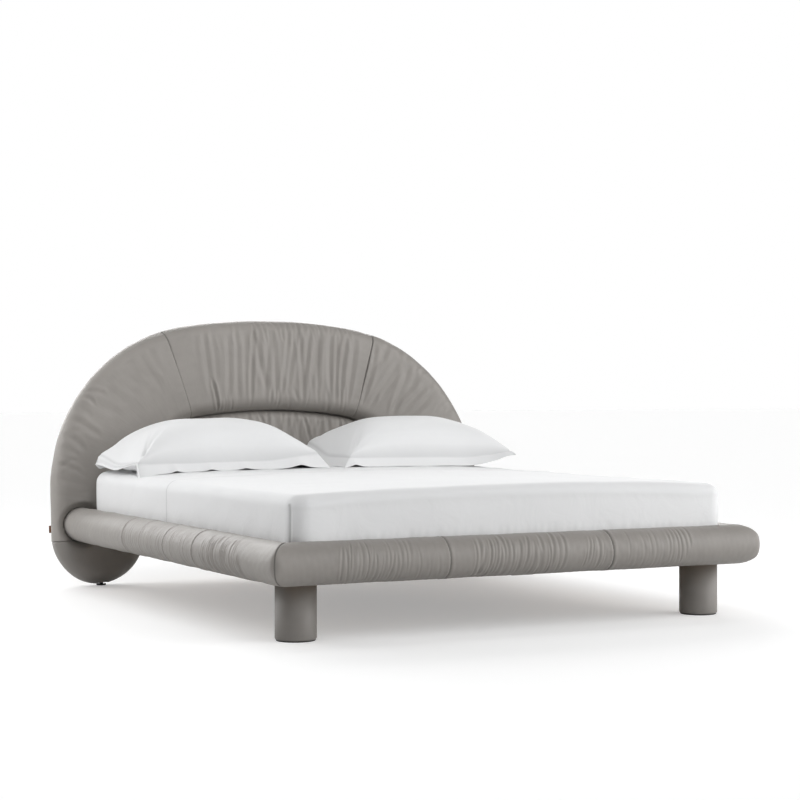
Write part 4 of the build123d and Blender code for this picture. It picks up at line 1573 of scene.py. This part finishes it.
@dataclass
class Bedding:
    """The mattress with its fitted sheet and flat sheet."""

    finishes: Finishes
    corner: float = 0.062
    edge: float = 0.038
    crown: float = 0.022
    offset: float = 0.0011
    flat_offset: float = 0.002
    flat_cell: float = 0.0062
    fitted_drop: float = 0.30
    flat_drop: float = 0.27
    ticking_inset: float = 0.004
    ticking_cell: float = 0.02
    turn_under: float = 0.01
    hem: float = 0.115
    deepest: float = 0.0025
    broad_swell: Pair = (0.0018, 0.5)
    fine_swell: Pair = (0.0009, 0.16)
    pucker: float = 0.0011
    corner_fold: float = 0.0075
    roll: float = 0.0038
    roll_place: float = 0.046
    roll_width: float = 0.017
    hem_rise: float = 0.0012

    def __post_init__(self) -> None:
        """Reads the mattress's box from the frame."""
        self.low, self.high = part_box("mattress")
        self.centre = (self.low + self.high) / 2
        self.half = Vector(((self.high.x - self.low.x) / 2, (self.high.y - self.low.y) / 2))

    def wrap(self, grow: float, drop: float, y_end: float | None = None,
             cell: float = 0.0085) -> tuple[Mesh, Drape]:
        """Lays a flat cloth over the mattress and down its sides.

        Args:
            grow: How far the cloth lies off the mattress.
            drop: The cloth's length from the top edge's start down its side.
            y_end: Where the cloth ends towards the head, or None where it goes right over.
            cell: The size of the mesh's cells.

        Returns:
            The mesh, and how it lies.
        """
        inner_x = self.half.x - self.corner
        inner_y = self.half.y - self.corner
        reach_x = inner_x + drop
        low_y = -inner_y - drop
        high_y = inner_y + drop if y_end is None else y_end - self.centre.y
        bm = bmesh.new()
        bmesh.ops.create_grid(bm, x_segments=round(2 * reach_x / cell),
                              y_segments=round((high_y - low_y) / cell), size=1.0)
        points = points_of(bm)
        a = points[:, 0] * reach_x
        b = low_y + (points[:, 1] + 1.0) / 2.0 * (high_y - low_y)
        qa, qb = np.clip(a, -inner_x, inner_x), np.clip(b, -inner_y, inner_y)
        da, db = np.abs(a - qa), np.abs(b - qb)
        distance = np.maximum(da, db)
        tiny = 1e-9
        small = np.minimum(da, db) / np.maximum(distance, tiny)
        eighth = math.pi / 4
        angle = np.where(da >= db, eighth * small, math.pi / 2 - eighth * small)
        nx = np.cos(angle) * np.sign(a - qa)
        ny = np.sin(angle) * np.sign(b - qb)
        none = distance < tiny
        nx, ny = np.where(none, 0.0, nx), np.where(none, 0.0, ny)
        edge = self.edge + grow
        flat = self.corner + grow - edge
        turn = np.clip((distance - flat) / edge, 0.0, math.pi / 2)
        down = np.maximum(distance - flat - edge * math.pi / 2, 0.0)
        out = np.minimum(distance, flat) + edge * np.sin(turn)
        x = qa + nx * out
        y = qb + ny * out + self.centre.y
        z = self.high.z + grow - self.camber(x, y) - edge * (1.0 - np.cos(turn)) - down
        normal = columns(nx * np.sin(turn), ny * np.sin(turn), np.cos(turn))
        place = columns(x, y, z)
        move_points(bm, place)
        return bm, Drape(place, normal, down, columns(a, b), columns(nx, ny), turn)

    def top(self, x: Array, y: Array) -> Array:
        """Gives the height of the made bed over places on it.

        Args:
            x: Places across the bed.
            y: Places along it.

        Returns:
            The heights, falling away past the mattress's rounded edges.
        """
        reach = np.clip(np.abs(x) - (self.half.x - self.edge), 0.0, self.edge * 0.98)
        fall = self.edge - np.sqrt(self.edge**2 - reach**2)
        return self.high.z + 2 * self.offset - self.camber(x, y) - fall

    def camber(self, x: Array, y: Array) -> Array:
        """Gives how far the mattress's top falls off sideways, later and faster towards the head.

        Args:
            x: Places across the bed.
            y: Places along it.

        Returns:
            The drop below the middle's height.
        """
        power = 2.0 + 4.0 * smooth_step(0.0, 0.7, y)
        return self.crown * (np.minimum(np.abs(x), self.half.x) / self.half.x) ** power

    def mattress(self) -> bpy.types.Object:
        """Builds the mattress under the sheets."""
        depth = self.high.z - self.low.z - self.crown
        bm, lay = self.wrap(-self.ticking_inset, depth + self.turn_under, cell=self.ticking_cell)
        points = lay.points
        points[:, 2] = np.maximum(points[:, 2], self.low.z)
        move_points(bm, points)
        close_ends(bm)
        piece = make_piece("mattress_ticking", bm, self.finishes.ticking)
        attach(piece, Body.MATTRESS.value)
        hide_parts("mattress")
        return piece

    def ripple(self, lay: Drape, seed: int) -> Array:
        """Gives a sheet's small creases, with puckers where the rail presses on it.

        Args:
            lay: How the sheet lies.
            seed: Which creases they are.

        Returns:
            The height over the smooth form, at each point.
        """
        points = lay.points
        sideways = np.abs(lay.facing[:, 0]) > np.abs(lay.facing[:, 1])
        perimeter = np.where(sideways, points[:, 1], points[:, 0])
        side = smooth_step(0.2, 1.3, lay.turn)
        height = swells(points, (self.broad_swell,), seed) * (1.0 - side)
        height += swells(points, (self.fine_swell,), seed + 1)
        line = columns(perimeter, 0.15 * points[:, 2], np.zeros(len(points)))
        pucker = swells(line, ((1.0, 0.07), (0.7, 0.03)), seed + 2)
        pressed = smooth_step(self.hem - 0.03, self.hem + 0.01, lay.down)
        height += self.pucker * pucker * side * pressed
        return np.maximum(height, -self.deepest)

    def fitted_sheet(self) -> bpy.types.Object:
        """Builds the fitted sheet over the whole mattress."""
        drop = self.fitted_drop
        bm, lay = self.wrap(self.offset, drop)
        height = self.ripple(lay, 7)
        move_points(bm, lay.points + lay.normal * height[:, None])
        bmesh.ops.recalc_face_normals(bm, faces=bm.faces[:])
        piece = make_piece("fitted_sheet_cotton", bm, self.finishes.cotton)
        self.sheet(piece, "fitted_sheet")
        return piece

    def flat_sheet(self) -> bpy.types.Object:
        """Builds the flat sheet, tucked in at the foot and both sides."""
        drop = self.flat_drop
        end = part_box("flat_sheet")[1].y
        bm, lay = self.wrap(self.offset + self.flat_offset, drop, end, self.flat_cell)
        height = self.ripple(lay, 17)
        past_corner = lay.points[:, 0] + self.half.x
        fold = smooth_step(0.004, 0.010, past_corner) * (1.0 - smooth_step(0.05, 0.22, past_corner))
        to_foot = np.clip(-lay.facing[:, 1], 0.0, 1.0)
        at_foot = to_foot * smooth_step(0.9, 1.5, lay.turn)
        height += self.corner_fold * fold * at_foot
        below_top = lay.turn * self.edge + lay.down
        height += self.roll * bell(below_top - self.roll_place, self.roll_width) * to_foot
        up_bed = lay.flat[:, 1] + self.centre.y
        height += self.hem_rise * smooth_step(end - 0.014, end - 0.006, up_bed)
        points = lay.points + lay.normal * height[:, None]
        move_points(bm, points)
        bmesh.ops.recalc_face_normals(bm, faces=bm.faces[:])
        # Painted shade: a dark band at the sheet's top edge and a dark line along the hospital
        # corner's fold.
        edge = 0.8 * smooth_step(end - 0.0065, end - 0.001, up_bed)
        crease = 0.75 * bell(past_corner - 0.004, 0.003) * (at_foot > 0.25)
        surface = Surface(lay.flat, np.zeros(len(points)), np.maximum(edge, crease))
        piece = make_piece("flat_sheet_cotton", bm, self.finishes.cotton, surface)
        self.sheet(piece, "flat_sheet")
        return piece

    def sheet(self, piece: bpy.types.Object, node: str) -> None:
        """Gives a sheet to the frame.

        Args:
            piece: The sheet.
            node: The node that it stands for.
        """
        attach(piece, Body.MATTRESS.value)
        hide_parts(node)

    def build(self) -> None:
        """Builds the mattress and both sheets."""
        self.mattress()
        self.fitted_sheet()
        self.flat_sheet()


@dataclass(frozen=True)
class Lift:
    """A place where a case's front border stands up off the bed."""

    place: float
    width: float
    height: float


@dataclass(frozen=True)
class Plump:
    """How one pillow is filled and how its corners sit."""

    end_power: float
    end_fullness: float
    side_power: float
    side_fullness: float
    crown: float
    bow_x: float
    bow_y: float
    left_back: float
    right_back: float
    left_front: float
    right_front: float
    rest: float = 0.04


@dataclass
class Pillow:
    """One plump pillow in a case with a flat border."""

    finishes: Finishes
    bedding: Bedding
    side: Side
    seed: int
    plump: Plump
    lifts: tuple[Lift, ...]
    border: float = 0.038
    cell: float = 0.0042
    cloth: float = 0.0016
    hem_depth: float = 0.0016
    hem_place: float = 0.9
    groove: float = 0.0042
    groove_width: float = 0.0048
    flange_shade_width: float = 0.0024
    fold_share: float = 0.85
    end_slant: float = 0.022

    def creases(self, x: Array, y: Array, reach_x: float, reach_y: float) -> Array:
        """Gives the creases that run in from the four corners.

        Args:
            x: Places along the pillow, from its middle.
            y: Places across it, from its middle.
            reach_x: The body's half length.
            reach_y: The body's half depth.

        Returns:
            The height at each point.
        """
        chance = random.Random(self.seed)
        total = np.zeros(len(x))
        for sign_x in (-1, 1):
            for sign_y in (-1, 1):
                for _ in range(5):
                    inwards = math.atan2(-sign_y * reach_y, -sign_x * reach_x)
                    turn = inwards + chance.uniform(-0.5, 0.5)
                    start_x = sign_x * reach_x * chance.uniform(0.93, 1.0)
                    start_y = sign_y * reach_y * chance.uniform(0.88, 1.0)
                    cos, sin = math.cos(turn), math.sin(turn)
                    along = (x - start_x) * cos + (y - start_y) * sin
                    across = (y - start_y) * cos - (x - start_x) * sin
                    width = 0.006 + 0.05 * np.clip(along, 0.0, None)
                    reach = chance.uniform(0.12, 0.26)
                    fade = smooth_step(-0.005, 0.035, along)
                    fade *= 1.0 - smooth_step(0.4 * reach, reach, along)
                    total -= chance.uniform(0.002, 0.0045) * fade * bell(across, width)
        return total

    def seam(self, u: Array, v: Array, level: Array) -> Array:
        """Gives the height of the body's seam line, carried inwards over the whole pillow.

        Args:
            u: Places along the pillow, from -1 to 1.
            v: Places across it, from -1 to 1.
            level: The bed's height there.

        Returns:
            The heights.
        """
        plump = self.plump
        left, right = smooth_step(0.3, 1.0, -u), smooth_step(0.3, 1.0, u)
        front, back = smooth_step(0.0, 1.0, -v), smooth_step(0.0, 1.0, v)
        corners = back * (plump.left_back * left + plump.right_back * right)
        corners += front * (plump.left_front * left + plump.right_front * right)
        return level + plump.rest + corners

    def edge_height(self, x: Array, u: Array, v: Array, bed: Array,
                    seam: Array) -> Array:
        """Gives the height of the border's outer edge.

        Args:
            x: Places across the bed.
            u: Places along the pillow, from -1 to 1.
            v: Places across it, from -1 to 1.
            bed: The bed's height there.
            seam: The body's seam height there.

        Returns:
            The heights.
        """
        front = smooth_step(0.2, 0.75, -v)
        swell = soft_noise(columns(u * 0.41, v * 0.23, u * 0.0), 0.12, self.seed + 3)
        low = bed + 0.0012 + 0.0006 * (1.0 + swell) + 0.014 * smooth_step(0.2, 0.9, v)
        for lift in self.lifts:
            low += lift.height * np.exp(-np.abs((x - lift.place) / lift.width) ** 1.6) * front
        if self.side is Side.LEFT:
            droop = smooth_step(0.86, 0.93, -u) * smooth_step(-0.86, -0.74, v)
            hang = seam - 0.012 - 0.037 * smooth_step(-0.7, 1.0, v)
            return low + (np.maximum(hang, bed + 0.004) - low) * droop
        rounded = smooth_step(0.25, 0.85, u)
        return low + (np.maximum(seam - 0.022, bed + 0.004) - low) * rounded

    def hem(self, u: Array, v: Array) -> Array:
        """Gives the groove of the right case's stitched hem.

        Args:
            u: Places along the body, from -1 to 1.
            v: Places across it, from -1 to 1.

        Returns:
            The depth at each point.
        """
        if self.side is Side.LEFT:
            return np.zeros(len(u))
        span = smooth_step(-0.72, -0.62, u) * (1.0 - smooth_step(0.5, 0.62, u))
        return self.hem_depth * span * bell(v + self.hem_place, 0.008)

    def build(self) -> None:
        """Builds the case round the pillow."""
        word, plump = self.side.word, self.plump
        low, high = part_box(f"{word}_pillowcase")
        centre, half = (low + high) / 2, (high - low) / 2
        bm = bmesh.new()
        bmesh.ops.create_grid(bm, x_segments=round(2 * half.x / self.cell),
                              y_segments=round(2 * half.y / self.cell), size=1.0)
        points = points_of(bm)
        u, v = points[:, 0], points[:, 1]
        a, b = u * half.x, v * half.y
        body_x, body_y = half.x - self.border, half.y - self.border
        over = np.maximum(np.abs(a) - body_x, np.abs(b) - body_y)
        out = np.clip(over / self.border, 0.0, 1.0)
        ua, vb = np.clip(a / body_x, -1, 1), np.clip(b / body_y, -1, 1)
        x = centre.x + a * (1.0 - plump.bow_x * (1.0 - v**2))
        y = centre.y + b * (1.0 - plump.bow_y * (1.0 - u**2))
        y += 0.003 * soft_noise(columns(a, b * 0, b * 0), 0.3, self.seed + 2)
        bed = self.bedding.top(x, y)
        seam = self.seam(u, v, self.bedding.top(np.clip(x, -0.8, 0.8), y))
        outer = self.edge_height(x, u, v, bed, seam)
        rise = (1.0 - np.abs(ua) ** plump.end_power) ** plump.end_fullness
        rise *= (1.0 - np.abs(vb) ** plump.side_power) ** plump.side_fullness
        inside = np.minimum((1.0 - np.abs(ua)) * body_x, (1.0 - np.abs(vb)) * body_y)
        swell = 0.002 * soft_noise(columns(a, b, a * 0), 0.22, self.seed)
        body = seam + plump.crown * rise
        body += (self.creases(a, b, body_x, body_y) + swell) * smooth_step(0.0, 0.03, inside)
        slope = seam + (outer - seam) * out**0.8
        upper = np.where(out > 0, slope, body)
        upper -= self.groove * bell(over - 0.001, self.groove_width)
        upper -= self.hem(ua, vb)
        sink = np.maximum(seam - plump.rest * 1.1 * np.clip(rise, 0.0, 1.0) ** 0.4, bed + 0.001)
        under = np.minimum(np.where(out > 0, slope, sink), upper - self.cloth)
        end = a * self.side.value
        fold = self.fold_share * self.border * smooth_step(0.0, self.border, end - body_x)
        slant = smooth_step(0.6, 1.0, end / half.x) * smooth_step(0.0, 1.0, -v)
        x = x - self.side.value * (fold + self.end_slant * slant)
        move_points(bm, columns(x, y, np.minimum(upper, high.z + 0.004)))
        self.line(bm, under)
        # Painted shade along the line where the body meets the flat border.
        flange_shade = 0.45 * bell(over - 0.0015, self.flange_shade_width)
        none = np.zeros(len(over))
        surface = Surface(np.tile(columns(a, b), (2, 1)), np.tile(none, 2),
                          np.concatenate([flange_shade, none]))
        case = make_piece(f"{word}_pillowcase_cotton", bm, self.finishes.cotton, surface)
        body_name = Body.LEFT_PILLOW if self.side is Side.LEFT else Body.RIGHT_PILLOW
        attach(case, body_name.value)
        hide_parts(f"{word}_pillowcase", f"{word}_pillow")

    def line(self, bm: Mesh, under: Array) -> None:
        """Adds the case's underside and joins it to the upper one.

        Args:
            bm: The upper side's mesh.
            under: The underside's height below each point.
        """
        below = bmesh.ops.duplicate(bm, geom=bm.verts[:] + bm.edges[:] + bm.faces[:])
        lower = [item for item in below["geom"] if isinstance(item, bmesh.types.BMVert)]
        for vert, height in zip(lower, under):
            vert.co.z = height
        bmesh.ops.bridge_loops(bm, edges=[edge for edge in bm.edges if edge.is_boundary])
        bmesh.ops.recalc_face_normals(bm, faces=bm.faces[:])


# The hard pieces of the base


@dataclass
class Base:
    """The boards, slats and fittings, which keep the frame's own meshes."""

    finishes: Finishes

    def dress(self) -> None:
        """Gives each hard piece its finish."""
        finishes = self.finishes
        pairs = ("rail_board", "slat_ledger", "corner_plate", "leg", "headboard_post", "slats",
                 "headboard_bracket", "foot_socket", "leveling_foot", "leg_glide", "slat_caps")
        board, ledger, plate, leg, post, slats, bracket, socket, foot, glide, caps = (
            tuple(f"{side.word}_{kind}" for side in Side) for kind in pairs)
        groups = (
            (finishes.softwood, board + ledger + plate + leg),
            (finishes.plywood, ("foot_rail_board", "headboard_panel", "head_ledger") + post),
            (finishes.beech, slats),
            (finishes.zinc, ("corner_screws", "leg_bolts", "headboard_post_bolts",
                             "headboard_bracket_bolts", "ledger_screws", "beam_stirrups",
                             "center_beam") + bracket + socket),
            (finishes.black, foot + glide + caps + ("center_slat_caps",)),
            (finishes.back_cloth, ("headboard_back_cover",)),
            (finishes.tag, ("side_tag",)),
        )
        for material, nodes in groups:
            for node in nodes:
                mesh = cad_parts[node].data
                mesh.materials.clear()
                mesh.materials.append(material)
            log.info("%s: %d pieces", material.name, len(nodes))


# Studio


@dataclass(frozen=True)
class View:
    """The camera as it stood before the bed, in pixels of an 800 pixel square."""

    focal: float = 1900.32
    centre_x: float = 398.04
    centre_y: float = 390.21
    frame_size: float = 800.0
    yaw: float = 0.4804
    place: Triple = (-3.3989, -5.5834, 0.8211)
    sensor: float = 36.0

    def build(self, foot_y: float) -> None:
        """Adds the camera.

        Args:
            foot_y: The foot rail's axis along Y, which the camera's place counts from.
        """
        data = bpy.data.cameras.new("camera")
        data.sensor_width = self.sensor
        data.lens = self.focal / self.frame_size * self.sensor
        middle = self.frame_size / 2
        data.shift_x = (middle - self.centre_x) / self.frame_size
        data.shift_y = (self.centre_y - middle) / self.frame_size
        data.clip_end = 200.0
        camera = bpy.data.objects.new("camera", data)
        x, y, z = self.place
        camera.location = (x, y + foot_y, z)
        camera.rotation_euler = (math.radians(90), 0.0, -self.yaw)
        bpy.context.scene.collection.objects.link(camera)
        bpy.context.scene.camera = camera


@dataclass(frozen=True)
class Lamp:
    """One soft distant light."""

    name: str
    strength: float
    spread: float
    heading: float
    height: float

    def build(self) -> None:
        """Adds the light."""
        data = bpy.data.lights.new(self.name, "SUN")
        data.energy = self.strength
        data.angle = math.radians(self.spread)
        lamp = bpy.data.objects.new(self.name, data)
        heading, height = math.radians(self.heading), math.radians(self.height)
        flat = math.cos(height)
        to_lamp = Vector((math.cos(heading) * flat, math.sin(heading) * flat, math.sin(height)))
        lamp.rotation_euler = to_lamp.to_track_quat("Z", "Y").to_euler()
        bpy.context.scene.collection.objects.link(lamp)


@dataclass(frozen=True)
class SoftBox:
    """One square light near the bed."""

    name: str
    power: float
    size: float
    place: Triple
    target: Triple

    def build(self) -> None:
        """Adds the light, which the camera doesn't see."""
        data = bpy.data.lights.new(self.name, "AREA")
        data.energy = self.power
        data.size = self.size
        lamp = bpy.data.objects.new(self.name, data)
        lamp.location = self.place
        aim = Vector(self.place) - Vector(self.target)
        lamp.rotation_euler = aim.to_track_quat("Z", "Y").to_euler()
        lamp.visible_camera = False
        bpy.context.scene.collection.objects.link(lamp)


@dataclass
class Studio:
    """The white floor, the soft lights and the white surround."""

    floor_size: float = 120.0
    floor_tone: float = 0.76
    floor_glow: float = 0.32
    sky: float = 0.2
    suns: tuple[Lamp, ...] = (
        Lamp("back", 2.58, 50.0, 80.0, 20.0),
        Lamp("right", 1.30, 50.0, 320.0, 20.0),
        Lamp("front", 0.63, 50.0, 240.0, 50.0),
        Lamp("high", 0.38, 50.0, 120.0, 50.0),
    )
    boxes: tuple[SoftBox, ...] = (
        SoftBox("right_box", 21.0, 1.6, (3.4, -1.2, 1.2), (0.6, -0.8, 0.1)),
        SoftBox("corner_box", 5.0, 1.2, (1.6, -2.6, 0.7), (0.8, -1.0, 0.2)),
        SoftBox("left_box", 56.0, 2.4, (-3.3, 2.2, 1.7), (-0.9, 0.7, 0.5)),
        SoftBox("head_box", 6.5, 1.2, (-0.6, -0.3, 2.5), (0.0, 1.05, 0.95)),
    )

    def floor(self) -> None:
        """Adds the white floor."""
        bm = bmesh.new()
        bmesh.ops.create_grid(bm, x_segments=1, y_segments=1, size=self.floor_size / 2)
        painter = Painter(name="floor_white")
        tone = self.floor_tone
        painter.set(Base_Color=(tone, tone, tone, 1.0), Roughness=1.0, Specular_IOR_Level=0.0,
                    Emission_Color=(1.0, 1.0, 1.0, 1.0))
        seen = painter.add("LightPath").outputs["Is Camera Ray"]
        glow = painter.combine("MULTIPLY", seen, self.floor_glow)
        painter.link(glow, painter.shader.inputs["Emission Strength"])
        piece = make_piece("floor", bm, painter.material)

    def surround(self) -> None:
        """Makes the surround white to the camera and softer as a light."""
        world = bpy.data.worlds.new("surround")
        bpy.context.scene.world = world
        world.use_nodes = True
        tree = world.node_tree
        back = tree.nodes["Background"]
        back.inputs["Color"].default_value = (1.0, 1.0, 1.0, 1.0)
        path = tree.nodes.new("ShaderNodeLightPath")
        seen = tree.nodes.new("ShaderNodeMath")
        seen.operation = "MAXIMUM"
        tree.links.new(path.outputs["Is Camera Ray"], seen.inputs[0])
        tree.links.new(path.outputs["Is Transmission Ray"], seen.inputs[1])
        strength = tree.nodes.new("ShaderNodeMapRange")
        strength.inputs["To Min"].default_value = self.sky
        strength.inputs["To Max"].default_value = 1.0
        tree.links.new(seen.outputs[0], strength.inputs["Value"])
        tree.links.new(strength.outputs["Result"], back.inputs["Strength"])

    def build(self) -> None:
        """Builds the studio."""
        self.floor()
        self.surround()
        for lamp in (*self.suns, *self.boxes):
            lamp.build()
        bpy.context.scene.view_settings.view_transform = "Standard"


def main() -> None:
    """Builds the whole bed and its studio."""
    logging.basicConfig(level=logging.INFO, format="%(message)s")
    finishes = Finishes.build()
    rails = Rails(finishes)
    rails.build()
    Headboard(finishes, rails).build()
    Legs(finishes).build()
    bedding = Bedding(finishes)
    bedding.build()
    left_plump = Plump(
        end_power=3.53, end_fullness=0.946, side_power=2.9, side_fullness=0.36, crown=0.166,
        bow_x=0.03, bow_y=0.005, left_back=0.037, right_back=0.008, left_front=0.015,
        right_front=0.03)
    right_plump = Plump(
        end_power=3.56, end_fullness=0.812, side_power=2.12, side_fullness=0.36, crown=0.164,
        bow_x=0.042, bow_y=0.08, left_back=0.06, right_back=0.054, left_front=0.001,
        right_front=0.036, rest=0.045)
    Pillow(finishes, bedding, Side.LEFT, 5, left_plump, (
        Lift(-0.69, 0.02, 0.008), Lift(-0.541, 0.022, 0.006), Lift(-0.389, 0.024, 0.006),
        Lift(-0.145, 0.042, 0.015))).build()
    Pillow(finishes, bedding, Side.RIGHT, 15, right_plump, (Lift(0.105, 0.028, 0.011),)).build()
    Base(finishes).dress()
    View().build(rails.foot_y)
    Studio().build()


if __name__ == "__main__":
    main()
